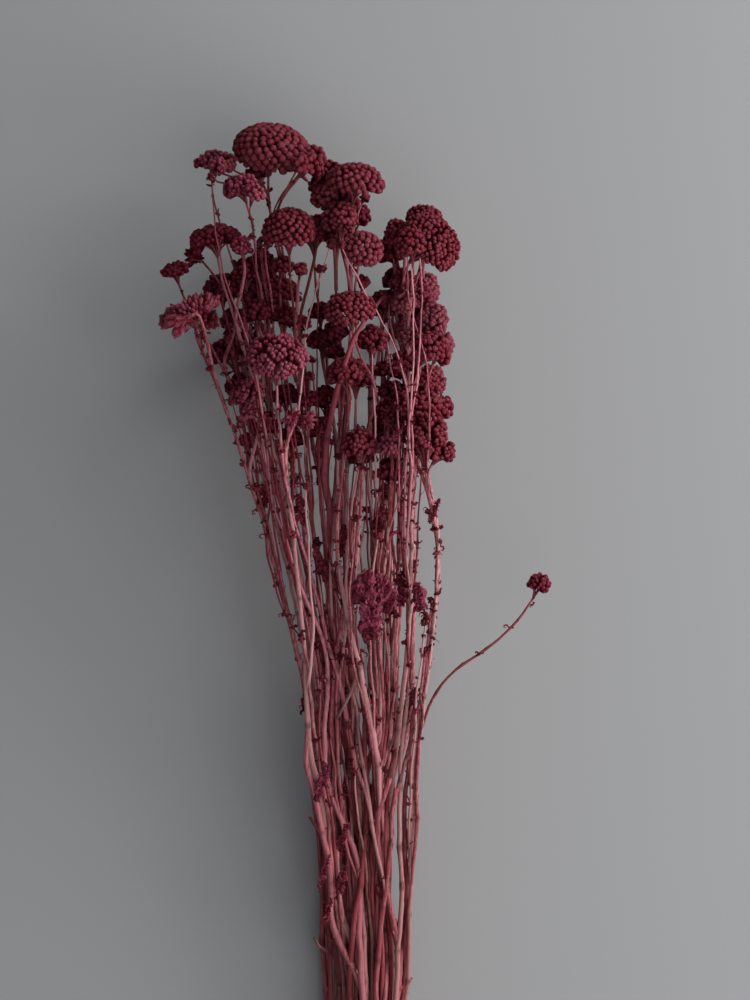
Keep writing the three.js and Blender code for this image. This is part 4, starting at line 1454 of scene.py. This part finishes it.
def fillLine(n, rng):
    shape = fillShape
    share = (n + 0.5) / shape["long"]
    end = rng.uniform(*shape["longEnd"]) * mm
    height = rng.uniform(*shape["longStart"]) * mm
    size = rng.uniform(*shape["longSizes"])
    drift = rng.uniform(-shape["drift"], shape["drift"])
    least, most = shape["within"]
    points, radii = [], []
    while height < end:
        part = (height + 0.29) / 0.4
        found = crossingsAt(height)
        edges = sorted(point.x for point, _ in found)
        low, high = edges[1], edges[-2]
        sway = shape["sway"] * math.sin(height * shape["swayScale"] + n)
        place = min(most, max(least, share + drift * part + sway))
        across = low + place * (high - low)
        radius = between(*shape["longRadius"], part) * size * mm
        lowest = min(point.z for point, _ in found)
        points.append(Vector((across, height, restingHeight(found, across, radius, lowest))))
        radii.append(radius)
        height += shape["every"] * mm
    for _ in range(shape["settling"]):
        settle(points)
    return {"points": points[::-1], "radii": radii[::-1]}


def growFillStems():
    for n in range(fillShape["long"]):
        rng = random.Random("fill " + str(n))
        line = fillLine(n, rng)
        refine(line, rng)
        fillLines.append(line)
        bm = newMesh()
        sweepStem(bm, line, fillShape["sides"], rng.random())
        makePiece("fill_stem_" + str(n), bm, [stemMaterial, pithMaterial])
        bm = newMesh()
        scrapsAlong(bm, line["fine"], line["fineRadii"], rng, fillShape["scrapsFrom"], fillShape["scraps"])
        addTuft(bm, line["fine"], rng)
        makeScraps("fill_scraps_" + str(n), bm)
    print("fill stems grown:", fillShape["long"])


# in mm, apart from the shares and counts
tracedShape = {
    "step": 9,
    "sides": 8,
    "aside": 5,             # within which the stems beneath count
    "bare": 60,             # the height where there are none
    "smoothing": 8,
    "joining": ((-3, 0.3), (-2, 0.7), (-1, 1)),   # its last points, and how far each is drawn to a stem
    "thinning": 0.45,
    "leafyFrom": 30,        # along the bunch, which a stem has to reach to have scraps
    "scraps": (9, 24),
    "scrapSizes": (0.6, 1.1),
    "scrapsFrom": -20,
}

# the lowest points of the stems beside the others, in metres across and along the bunch
edgeFeet = [(-0.0153, -0.19), (-0.0152, -0.2077), (-0.0158, -0.24), (-0.019, -0.288)]

# ways in the photograph's pixels of stems that stand out at the edge or in front, from top to bottom, each
# with its radius in mm at either end and how far it lies over the stems beneath it; those marked as in front
# clear the heads
tracedStems = {
    "edge_one": {"way": [(312, 716), (308, 750), (310, 790), (318, 840), (321, 900), (322, 960), (325, 1000)],
                 "radii": (1.2, 1.5), "beside": 16},
    "edge_two": {"way": [(315, 730), (311, 765), (315, 800), (322, 850), (325, 920), (327, 1000)],
                 "radii": (1.1, 1.4), "beside": 9},
    "edge_three": {"way": [(318, 700), (313, 745), (317, 800), (325, 860), (327, 920), (330, 1000)],
                   "radii": (1.1, 1.4), "beside": 22},
    "right_one": {"way": [(407, 262), (408, 302), (415, 329), (424, 356), (428, 396), (430, 440), (431, 500)],
                  "radii": (0.5, 0.8), "over": 1, "pale": 0.5, "front": True, "bareTip": True},
    "right_two": {"way": [(419, 262), (422, 287), (420, 333), (418, 371), (413, 396), (412, 450), (414, 520)],
                  "radii": (0.5, 0.8), "over": 1, "pale": 0.5, "front": True, "bareTip": True},
    "right_three": {"way": [(411, 272), (412, 314), (413, 352), (411, 396), (406, 450), (404, 520),
                            (405, 600)],
                    "radii": (0.55, 0.9), "over": 1, "pale": 0.5, "front": True, "bareTip": True},
    "crossing": {"way": [(341, 249), (355, 279), (361, 289), (382, 325), (396, 352), (407, 400), (410, 470),
                         (409, 560)], "radii": (0.5, 0.9), "over": 1, "pale": 0.5, "front": True},
    "thick_middle": {"way": [(382, 298), (363, 325), (348, 356), (338, 390), (329, 429), (325, 467),
                             (325, 530)],
                     "radii": (1.4, 2.7), "over": 1, "pale": -0.35, "tone": 0.9, "front": True},
    "slim_middle": {"way": [(331, 247), (319, 287), (308, 323), (303, 380), (302, 460)],
                    "radii": (0.5, 0.8), "over": 0.5, "pale": 0.5, "front": True},
    "slim_right": {"way": [(387, 344), (392, 375), (398, 402), (399, 460), (396, 540)],
                   "radii": (0.45, 0.7), "over": 1, "pale": 0.5, "front": True, "bareTip": True},
    "slim_low": {"way": [(372, 352), (374, 404), (376, 470), (372, 560)],
                 "radii": (0.55, 0.8), "over": 0, "pale": 0.5, "front": True},
    "thick_left": {"way": [(303, 728), (307, 768), (315, 800), (322, 835), (329, 865), (330, 895), (329, 913),
                           (335, 940), (345, 960), (357, 977), (363, 1003), (367, 1060)],
                   "radii": (1.3, 1.8), "over": 0.3, "joined": True, "pale": 0.6},
    "low_one": {"way": [(262, 430), (272, 500), (289, 547), (296, 576), (311, 611), (324, 642), (329, 663),
                        (328, 690), (324, 725), (325, 772), (337, 814), (349, 839), (358, 866), (359, 900),
                        (360, 940), (361, 978), (363, 1010), (366, 1060)],
                "radii": (0.8, 1.75), "over": 0.4, "pale": 0.5},
    "low_two": {"way": [(330, 740), (333, 762), (341, 831), (349, 865), (357, 884), (360, 910)],
                "radii": (0.6, 0.9), "over": 0.2},
    "low_three": {"way": [(369, 700), (365, 740), (366, 818), (362, 870), (353, 930), (349, 1003),
                          (352, 1060)],
                  "radii": (1.2, 1.6), "over": 0.2},
    "low_four": {"way": [(390, 780), (379, 814), (377, 840), (383, 877), (392, 920), (399, 957), (398, 1003),
                         (392, 1060)], "radii": (1.4, 1.7), "over": 0.2},
    "low_five": {"way": [(396, 790), (392, 818), (388, 877), (381, 930), (375, 1000), (376, 1060)],
                 "radii": (1.0, 1.4), "over": 0.2},
    "low_six": {"way": [(352, 690), (362, 760), (376, 850), (384, 900)], "radii": (0.8, 1.1), "over": 0.2},
    "low_seven": {"way": [(432, 600), (424, 680), (411, 740), (398, 790), (391, 830)], "radii": (0.8, 1.1),
                  "over": 0.2},
    "tall_left": {"way": [(213, 180), (215, 221), (219, 252), (228, 290), (240, 315), (252, 350), (262, 400),
                          (268, 450), (274, 500)], "radii": (0.5, 0.9), "over": 0.5, "front": True},
    "gap_one": {"way": [(417, 690), (410, 750), (405, 800), (405, 860), (407, 920), (404, 1000), (398, 1060)],
                "radii": (1.0, 1.5), "over": -2},
    "gap_two": {"way": [(421, 700), (414, 760), (411, 820), (412, 880), (410, 940), (407, 1003), (400, 1060)],
                "radii": (0.9, 1.3), "over": -1},
    "gap_three": {"way": [(409, 690), (401, 760), (399, 820), (402, 880), (400, 940), (396, 1003),
                          (392, 1060)],
                  "radii": (1.0, 1.4), "over": -1.5},
    "gap_four": {"way": [(425, 650), (420, 720), (417, 790), (416, 850), (411, 900)], "radii": (0.7, 1.0),
                 "over": 0},
    "far_right": {"way": [(438, 528), (438, 548), (437, 575), (434, 620), (430, 660), (424, 705), (420, 760)],
                  "radii": (0.7, 1.0), "over": -1, "bareTip": True},
    "long_left": {"way": [(282, 450), (294, 522), (304, 550), (312, 582), (321, 610), (327, 645), (335, 667),
                          (343, 699), (348, 734), (354, 772), (361, 798), (365, 818)],
                  "radii": (0.8, 1.4), "over": 0.4, "pale": 0.5},
    "long_middle": {"way": [(338, 456), (338, 503), (337, 550), (341, 582), (349, 623), (359, 667),
                            (367, 702), (374, 740), (378, 775), (379, 812)],
                    "radii": (0.9, 1.7), "over": 0.4, "pale": 0.4},
}

# thin dark strands in the shade of the heads at the left, painted darker as painted shade
paintedShadeStrands = {
    "strand_one": [(222, 300), (232, 340), (243, 390), (256, 440), (268, 490), (276, 540)],
    "strand_two": [(236, 262), (244, 310), (252, 360), (262, 410), (272, 470), (284, 540)],
    "strand_three": [(252, 250), (258, 300), (266, 350), (272, 400), (280, 460), (290, 520)],
    "strand_four": [(262, 240), (268, 300), (276, 350), (286, 400), (294, 450), (300, 520)],
    "strand_five": [(278, 300), (284, 350), (290, 400), (298, 460), (306, 520)],
    "strand_six": [(296, 300), (300, 350), (306, 400), (310, 460), (318, 530)],
    "strand_seven": [(226, 330), (236, 370), (247, 420), (258, 470), (270, 530)],
    "strand_eight": [(246, 330), (256, 380), (264, 430), (277, 480), (288, 540)],
    "strand_left_one": [(232, 400), (243, 440), (254, 480), (264, 530), (272, 580), (282, 640)],
    "strand_left_two": [(240, 420), (252, 460), (262, 505), (272, 550), (281, 600), (292, 660)],
    "strand_left_three": [(270, 420), (275, 470), (284, 520), (292, 570), (300, 620)],
    "strand_left_four": [(252, 410), (262, 450), (270, 500), (279, 560), (290, 620)],
    "strand_nine": [(320, 270), (318, 320), (316, 370), (320, 420), (322, 480)],
    "strand_ten": [(357, 430), (353, 480), (350, 530), (352, 580), (358, 630)],
    "strand_eleven": [(385, 420), (381, 470), (377, 520), (378, 570), (384, 620)],
    "strand_twelve": [(399, 430), (395, 490), (392, 550), (395, 610)],
    "strand_thirteen": [(332, 440), (328, 500), (330, 560), (338, 610)],
    "strand_fourteen": [(320, 430), (319, 480), (322, 530), (329, 590)],
    "strand_fifteen": [(364, 430), (366, 480), (367, 540), (364, 600)],
    "strand_sixteen": [(408, 450), (404, 500), (403, 550), (407, 610)],
    "strand_seventeen": [(421, 470), (418, 520), (416, 570), (418, 630)],
    "dark_arc": [(303, 173), (292, 180), (283, 192), (276, 207), (268, 226), (266, 250), (268, 290)],
}

strandLook = {"radii": (0.45, 0.8), "over": -3, "scraps": (3, 14), "pale": -0.5}
leftStrandShade = {"leftOf": 300, "pale": -1.2}    # in the photograph's pixels, where they start in the shade and are painted darker still, as painted shade

for name, way in paintedShadeStrands.items():
    tracedStems[name] = {**strandLook, "way": way}
    if way[0][0] < leftStrandShade["leftOf"]:
        tracedStems[name]["pale"] = leftStrandShade["pale"]


# a stem at the edge goes outside those that it would touch
def besideOthers(place, radius, level):
    touching = [
        point.x - math.sqrt((other + radius) ** 2 - (point.z - level) ** 2)
        for point, other in crossingsAt(place.y) if abs(point.z - level) < other + radius
    ]
    return Vector((min([place.x, *touching]), place.y, level))


def overOthers(place, radius, traced):
    found = crossingsAt(place.y)
    under = [point.z for point, _ in found if abs(point.x - place.x) < tracedShape["aside"] * mm]
    base = max(under, default=tracedShape["bare"] * mm)
    level = restingHeight(found, place.x, radius, base) + traced["over"] * mm
    if "front" in traced:
        level = clearOfDomes(place, level)
    return Vector((place.x, place.y, level))


def evenedOut(points, isFront):
    inner = range(1, len(points) - 1)
    if isFront:
        for i in inner:
            points[i].z = max(points[i].z, (points[i - 1].z + points[i + 1].z) / 2)
    for _ in range(tracedShape["smoothing"]):
        for i in inner:
            points[i].z = (points[i - 1].z + points[i].z * 2 + points[i + 1].z) / 4
    return points


def tracedLine(traced):
    nodes = [fromPhoto(*at, 0) for at in traced["way"]]
    if "beside" in traced:
        nodes += [Vector((x, y, 0)) for x, y in edgeFeet]
    flat = smoothLine(nodes, tracedShape["step"] * mm)
    thin, thick = traced["radii"]
    points, radii = [], []
    for k, place in enumerate(flat):
        radius = (thin + (thick - thin) * k / (len(flat) - 1)) * mm
        if "beside" in traced:
            points.append(besideOthers(place, radius, traced["beside"] * mm))
        else:
            points.append(overOthers(place, radius, traced))
        radii.append(radius)
    points = evenedOut(points, "front" in traced)
    # the lower end thins out into the stem that lies nearest
    if "beside" not in traced:
        for i, share in tracedShape["joining"]:
            points[i] = points[i].lerp(nearestStem(points[i]), share)
            radii[i] *= 1 - tracedShape["thinning"] * share
    if "joined" in traced:
        points[0] = nearestStem(points[0])
    return {"points": points, "radii": radii}


def growTracedStems():
    shape = tracedShape
    for name, traced in tracedStems.items():
        rng = random.Random("traced " + name)
        line = tracedLine(traced)
        refine(line, rng)
        fillLines.append(line)
        fine, fineRadii = line["fine"], line["fineRadii"]
        bm = newMesh()
        sweepStem(bm, line, shape["sides"], traced.get("tone", rng.random()), traced.get("pale", 0))
        addKnotStubs(bm, fine, fineRadii, line["knots"], rng)
        makePiece("traced_stem_" + name, bm, [stemMaterial, pithMaterial])
        if fine[0].y > shape["leafyFrom"] * mm:
            bm = newMesh()
            every = traced.get("scraps", shape["scraps"])
            scrapsAlong(bm, fine, fineRadii, rng, shape["scrapsFrom"], every, shape["scrapSizes"])
            if "bareTip" not in traced:
                addTuft(bm, fine, rng)
            makeScraps("traced_scraps_" + name, bm)
    print("traced stems grown:", len(tracedStems))


# a way that leaves its host stem sideways and then follows it upwards
def twigWay(n, host, rng):
    shape = fillShape
    fine = host["fine"]
    start = rng.uniform(*shape["twigStart"]) * mm
    base = [i for i in range(4, len(fine) - 2) if fine[i].y > start]
    if not base:
        return []
    i = base[-1]
    length = rng.uniform(*shape["twigLength"]) * mm
    reach = rng.uniform(*shape["twigReach"]) * mm
    found = crossingsAt(min(fine[i].y + length * 0.6, 0.1))
    inward = sum((point for point, _ in found), Vector()) / len(found) - fine[i]
    around = math.atan2(inward.z * 0.5, inward.x) + rng.uniform(-1.5, 1.5)
    aside = Vector((math.cos(around), 0, math.sin(around)))
    points = []
    walked = 0.0
    while i > 3 and walked < length:
        part = walked / length
        gap = reach * min(1, part * 3) ** 0.7 + reach * 0.8 * part * part
        shake = noise.noise_vector(fine[i] * shape["shakeScale"] + Vector((n, 0, 0)))
        point = fine[i] + aside * gap + shake * shape["twigShake"] * mm * min(1, part * 5)
        point.z = max(point.z, 2.5 * mm)
        points.append(point)
        walked += (fine[i] - fine[i - 2]).length
        i -= 2
    return points


def growTwigs():
    shape = fillShape
    thick, thin = shape["twigRadius"]
    for n in range(shape["twigs"]):
        rng = random.Random("twig " + str(n))
        points = twigWay(n, mainLines[(n * 7) % len(mainLines)], rng)
        if len(points) < 4:
            continue
        way = relaxed(smoothLine(points, 5 * mm), 1)
        count = len(way)
        radii = [(thick + (thin - thick) * k / count) * rng.uniform(0.92, 1.08) * mm for k in range(count)]
        bm = newMesh()
        sweep(bm, way, radii, 6, 0.1, rng.random())
        makePiece("twig_" + str(n), bm, [stemMaterial])
        bm = newMesh()
        lowest, every = shape["twigScrapsFrom"], shape["twigScraps"]
        scrapsAlong(bm, way, radii, rng, lowest, every, shape["twigScrapSizes"])
        addTuft(bm, way[::-1], rng)
        makeScraps("twig_leaf_scraps_" + str(n), bm)
    print("twigs grown:", shape["twigs"])


growFillStems()
growTracedStems()
growTwigs()


# Feathery leaves

# a place in the photograph, then its length and half width in mm, its lean, its colour and its height over
# the stems beneath it
featherLeaves = {
    "middle_high": [(364, 586), 20, 8.5, (0.15, 1, 0.1), "magenta", 1],
    "middle_low": [(366, 620), 22, 9.5, (-0.35, 1, 0.1), "magenta", 1],
    "middle_side": [(386, 590), 20, 8, (-0.3, 1, 0.1), "magenta", 0],
    "right_pink": [(424, 596), 16, 6, (0.1, 1, 0.1), "magenta", 0],
    "right_dark": [(402, 592), 16, 5.5, (0.3, 1, 0), "magenta", -3],
    "right_darker": [(405, 570), 18, 4.5, (0.6, 1, 0), "wine", -8],
    "left_dark": [(318, 565), 20, 4.5, (-0.5, 1, 0), "wine", -6],
    "left_low": [(327, 655), 16, 3.5, (0.1, 1, 0), "wine", -5],
    "middle_deep": [(345, 650), 18, 4.5, (0.1, 1, 0), "wine", -7],
    "high_right": [(378, 520), 18, 5, (0.2, 1, 0), "wine", -6],
    "high_left": [(300, 510), 18, 4.5, (-0.3, 1, 0), "wine", -6],
    "high_middle": [(340, 540), 18, 4.5, (0, 1, 0), "wine", -7],
    "edge_right": [(432, 510), 14, 3, (0.2, 1, 0), "wine", -2],
    "edge_left": [(262, 495), 14, 3, (-0.4, 1, 0), "wine", -2],
    "low_right": [(408, 700), 14, 3.5, (0.1, 1, 0), "magenta", -3],
    "low_left": [(319, 782), 22, 4.5, (0.15, 1, 0), "magenta", 0.3],
    "low_dark": [(336, 842), 26, 4, (0.1, 1, 0), "wine", -1.5],
    "low_darker": [(337, 884), 20, 4, (0, 1, 0), "wine", -2],
    "low_middle": [(377, 893), 18, 3.5, (0.1, 1, 0), "wine", -1.5],
    "low_edge": [(321, 872), 20, 3, (0.1, 1, 0), "magenta", -1],
    "lowest_edge": [(324, 915), 18, 3, (0.1, 1, 0), "wine", -1],
}

featherShape = {
    "shortest": 8,        # joints of its rib
    "joint": 1.1,         # mm
    "ribRadius": 0.5,     # mm
    "ribThinner": 0.3,
    "ribSides": 5,
    "twist": (-0.6, 0.6),
    "pinna": 6.2,         # mm, the length of the longest pinna
    "pinnaSizes": (0.85, 1.15),
    "replaces": {"middle_high": ["leaf_upper"], "middle_low": ["leaf_lower"]},
}


# a curled rib, with pinnae to both sides and every other pair doubled
def growFeather(bm, base, ahead, length, half, rng):
    shape = featherShape
    side = ahead.cross(skyward).normalized()
    up = side.cross(ahead)
    points = [base]
    count = max(shape["shortest"], round(length / shape["joint"]))
    heading = ahead
    for k in range(count):
        heading = Quaternion(side, 0.03 + 0.08 * math.sin(k * 0.7)) @ heading
        heading = Quaternion(up, 0.16 * math.sin(k * 0.9 + half)) @ heading
        points.append(points[-1] + heading * length * mm / count)
    radii = [(shape["ribRadius"] - shape["ribThinner"] * k / count) * mm for k in range(count + 1)]
    sweep(bm, points, radii, shape["ribSides"], 0, rng.random())
    for k in range(1, count + 1):
        wide = half * (0.35 + 0.65 * math.sin(math.pi * min(1, 0.15 + 0.8 * k / count)))
        along = (points[k] - points[k - 1]).normalized()
        for way in (-1, 1):
            size = wide / shape["pinna"] * rng.uniform(*shape["pinnaSizes"])
            first = along * rng.uniform(0.3, 0.7) + side * way + up * rng.uniform(0.0, 0.35)
            addLeafBit(bm, pinnaMeshes, points[k], first, size, shape["twist"], rng)
            if k % 2:
                second = along * rng.uniform(0.5, 1) + side * way * 0.5 + up * rng.uniform(0.4, 0.8)
                addLeafBit(bm, pinnaMeshes, points[k], second, size * 0.75, shape["twist"], rng)


def growFeathers():
    for name, (at, length, half, lean, tone, over) in featherLeaves.items():
        rng = random.Random("feather " + name)
        middle = fromPhoto(*at, 0)
        near = sorted(crossingsAt(middle.y), key=lambda one: abs(one[0].x - middle.x) - one[1])[:4]
        level = max(point.z + radius for point, radius in near)
        closest = near[0][0].x
        slack = max(0, abs(closest - middle.x) - 0.6 * half * mm)
        middle.x += math.copysign(slack, closest - middle.x)
        ahead = Vector(lean).normalized()
        base = middle + skyward * max(3 * mm, level + over * mm) - ahead * length * 0.5 * mm
        bm = newMesh()
        growFeather(bm, base, ahead, length, half, rng)
        material = featherMaterial if tone == "magenta" else leafMaterial
        makePiece("feather_leaf_" + name, bm, [material], featherShape["replaces"].get(name, ()))
    print("feathery leaves:", len(featherLeaves))


growFeathers()


# Broken stubs

# ways in the photograph's pixels and radii in mm
brokenStubs = {
    "left_high": {"way": [(321, 842), (315, 828), (309, 818)], "radii": (0.9, 0.7)},
    "left_low": {"way": [(324, 960), (318, 950), (313, 941)], "radii": (0.9, 0.6)},
    "right_twig": {"way": [(418, 742), (423, 716), (421, 700)], "radii": (0.7, 0.5)},
    "middle_twig": {"way": [(340, 720), (352, 690), (356, 668)], "radii": (0.8, 0.6)},
}


def growStubs():
    for name, stub in brokenStubs.items():
        rng = random.Random("stub " + name)
        last = len(stub["way"]) - 1
        points, radii = [], []
        for k, at in enumerate(stub["way"]):
            place = fromPhoto(*at, 0)
            radius = between(*stub["radii"], k / last) * mm
            found = crossingsAt(place.y)
            nearest = min(found, key=lambda one: abs(one[0].x - place.x) - one[0].z)
            level = restingHeight(found, place.x, radius, nearest[0].z)
            points.append(Vector((place.x, place.y, level)))
            # the first point is inside the stem that carries the stub
            if k == 0:
                points[0] = min(found, key=lambda one: abs(one[0].x - place.x) * 3 - one[0].z)[0]
            radii.append(radius)
        fine = smoothLine(points, 4 * mm)
        knots = [1] * len(fine)
        fineRadii = [radii[0] + (radii[-1] - radii[0]) * k / len(fine) for k in range(len(fine))]
        line = {"fine": fine, "fineRadii": fineRadii, "knots": knots}
        bm = newMesh()
        sweepStem(bm, line, stemShape["sides"], rng.random())
        makePiece("broken_stub_" + name, bm, [stemMaterial, pithMaterial])
    print("broken stubs:", len(brokenStubs))


growStubs()


# The twine round the bunch

# in mm, apart from the counts
twineShape = {
    "low": -212.2,        # along the bunch
    "high": -203.2,
    "turns": 5,
    "steps": 58,          # in a turn
    "levels": 8,          # at which the stems are outlined, apart from the lowest
    "ply": 0.56,
    "plies": 3,
    "pitch": 5.0,
    "rough": 0.12,
    "roughScale": 900,
    "slack": 0.1,
    "knotSize": 1.25,
    "knotSteps": 72,
    "knotOver": 1.2,
    "tail": 17,
    "tailStep": 1.6,
}


def crossed(a, b, c):
    return (b[0] - a[0]) * (c[1] - a[1]) - (b[1] - a[1]) * (c[0] - a[0])


# half of the tight outline round spots that are in order
def chain(ordered):
    kept = []
    for spot in ordered:
        while len(kept) > 1 and crossed(kept[-2], kept[-1], spot) <= 0:
            kept.pop()
        kept.append(spot)
    return kept[:-1]


# the tight outline round all stems at one height, as a table of angle and point
def outlineRound(height, gap):
    spots = []
    for point, radius in crossingsAt(height):
        for k in range(20):
            turn = k / 20 * fullTurn
            reach = radius + gap
            spots.append((point.x + reach * math.cos(turn), point.z + reach * math.sin(turn)))
    spots.sort()
    hull = chain(spots) + chain(spots[::-1])
    across = sum(spot[0] for spot in hull) / len(hull)
    level = sum(spot[1] for spot in hull) / len(hull)
    table = sorted((math.atan2(spot[1] - level, spot[0] - across), spot) for spot in hull)
    first, last = table[0], table[-1]
    return [(last[0] - fullTurn, last[1]), *table, (first[0] + fullTurn, first[1])], (across, level)


def onOutline(table, angle):
    angle = (angle + math.pi) % fullTurn - math.pi
    for (before, start), (after, end) in zip(table, table[1:]):
        if before <= angle <= after:
            part = (angle - before) / max(1e-9, after - before)
            return between(start[0], end[0], part), between(start[1], end[1], part)
    return table[0][1]


# strands that twist round each other along a way
def twist(bm, way, outs, rng):
    shape = twineShape
    phases = [walked / (shape["pitch"] * mm) * fullTurn for walked in lengthsAlong(way)]
    ply = shape["ply"] * mm
    for k in range(shape["plies"]):
        points = []
        for i, point in enumerate(way):
            ahead = headingAt(way, i)
            out = (outs[i] - ahead * outs[i].dot(ahead)).normalized()
            phase = phases[i] + k * fullTurn / shape["plies"]
            points.append(point + (out * math.cos(phase) + ahead.cross(out) * math.sin(phase)) * ply * 0.95)
        radii = [ply * (1 + shape["rough"] * noise.noise(point * shape["roughScale"])) for point in points]
        sweep(bm, points, radii, 6, 0, rng.random())


# the way of the twine's middle round the stems, and the headings out of the bunch
def woundWay(gap):
    shape = twineShape
    low, high = shape["low"] * mm, shape["high"] * mm
    levels = shape["levels"]
    tables = [outlineRound(between(low, high, k / levels), gap) for k in range(levels + 1)]
    steps = shape["turns"] * shape["steps"]
    way, outs = [], []
    for i in range(steps + 1):
        part = i / steps
        table, centre = tables[min(levels, round(part * levels))]
        across, level = onOutline(table, math.pi / 2 + part * shape["turns"] * fullTurn)
        way.append(Vector((across, between(low, high, part), level)))
        outs.append(Vector((across - centre[0], 0, level - centre[1])).normalized())
    return relaxed(way, 2), outs


# a trefoil, lying on the turns
def knotWay(crown):
    scale = twineShape["knotSize"] * mm
    way = []
    for i in range(twineShape["knotSteps"] + 1):
        turn = i / twineShape["knotSteps"] * fullTurn
        way.append(crown + Vector((
            (math.sin(turn) + 2 * math.sin(2 * turn)) * scale,
            (math.cos(turn) - 2 * math.cos(2 * turn)) * scale * 0.9,
            -math.sin(3 * turn) * scale * 0.8,
        )))
    return way


def tailWay(crown, side, gap):
    shape = twineShape
    way = [crown + Vector((side * 1.5, 0, 0)) * mm, crown + Vector((side * 4, 2.5, 1.2)) * mm]
    for k in range(1, 5):
        part = k / 4
        across = crown.x + side * (4 + shape["tail"] * 0.35 * part) * mm
        height = crown.y + (4 + shape["tail"] * part) * mm
        level = restingHeight(crossingsAt(height), across, gap, crown.z - 6 * mm)
        way.append(Vector((across, height, level + 0.3 * mm)))
    return smoothLine(way, shape["tailStep"] * mm)


def growTie():
    shape = twineShape
    rng = random.Random("tie")
    gap = (shape["ply"] * 1.95 + shape["slack"]) * mm
    way, outs = woundWay(gap)
    bm = newMesh()
    twist(bm, way, outs, rng)
    top = max(point.z for point in way) + shape["knotOver"] * mm
    crown = Vector((way[0].x, (shape["low"] * mm + shape["high"] * mm) / 2, top))
    for loose in (knotWay(crown), tailWay(crown, -1, gap), tailWay(crown, 1, gap)):
        twist(bm, loose, [skyward] * len(loose), rng)
    makePiece("twine_tie", bm, [twineMaterial], ["tie"])
    print("tie wound:", shape["turns"], "turns")


growTie()


# Floor, light and camera

studio = {
    "photoCentre": (9.3, 107.3),   # mm, what the middle of the picture looks at
    "distance": 2500,
    "viewHeight": 60,
    "lens": 180,
    "sensor": 36,
    "clip": (0.05, 50),
    "floorSize": 4,
    # each lamp's place and size in metres and its power in watts
    "lamps": {
        "window_high": [(1.2, 0.9, 0.45), 1.0, 22.6],
        "window_low": [(1.2, -0.5, 0.6), 1.2, 10.4],
        "above": [(0.7, -0.4, 1.8), 1.8, 12.8],
    },
    "lampTarget": (0, 0.1, 0.05),
    "air": 0.2,
    "airColour": (0.9, 0.95, 1.0, 1),
}


def addToScene(name, data):
    made = bpy.data.objects.new(name, data)
    bpy.context.scene.collection.objects.link(made)
    return made


def addFloor():
    bm = bmesh.new()
    bmesh.ops.create_grid(bm, x_segments=1, y_segments=1, size=studio["floorSize"])
    mesh = bpy.data.meshes.new("floor")
    bm.to_mesh(mesh)
    bm.free()
    mesh.materials.append(floorMaterial)
    floor = addToScene("floor", mesh)


def addLamp(name, place, size, power):
    data = bpy.data.lights.new(name, "AREA")
    data.shape = "DISK"
    data.size = size
    data.energy = power
    lamp = addToScene(name, data)
    lamp.location = place
    lamp.rotation_euler = (Vector(studio["lampTarget"]) - Vector(place)).to_track_quat("-Z", "Y").to_euler()


def addCamera():
    data = bpy.data.cameras.new("camera")
    data.sensor_width = studio["sensor"]
    data.lens = studio["lens"]
    data.clip_start, data.clip_end = studio["clip"]
    camera = addToScene("camera", data)
    across, up = studio["photoCentre"]
    camera.location = Vector((across, up, studio["viewHeight"] + studio["distance"])) * mm
    bpy.context.scene.camera = camera


def addAir():
    world = bpy.data.worlds.new("studio_air")
    world.use_nodes = True
    background = world.node_tree.nodes["Background"]
    background.inputs["Color"].default_value = studio["airColour"]
    background.inputs["Strength"].default_value = studio["air"]
    bpy.context.scene.world = world


addFloor()
for name, (place, size, power) in studio["lamps"].items():
    addLamp(name, place, size, power)
addCamera()
addAir()
bpy.context.scene.view_settings.view_transform = "Standard"
print("floor, light and camera placed")
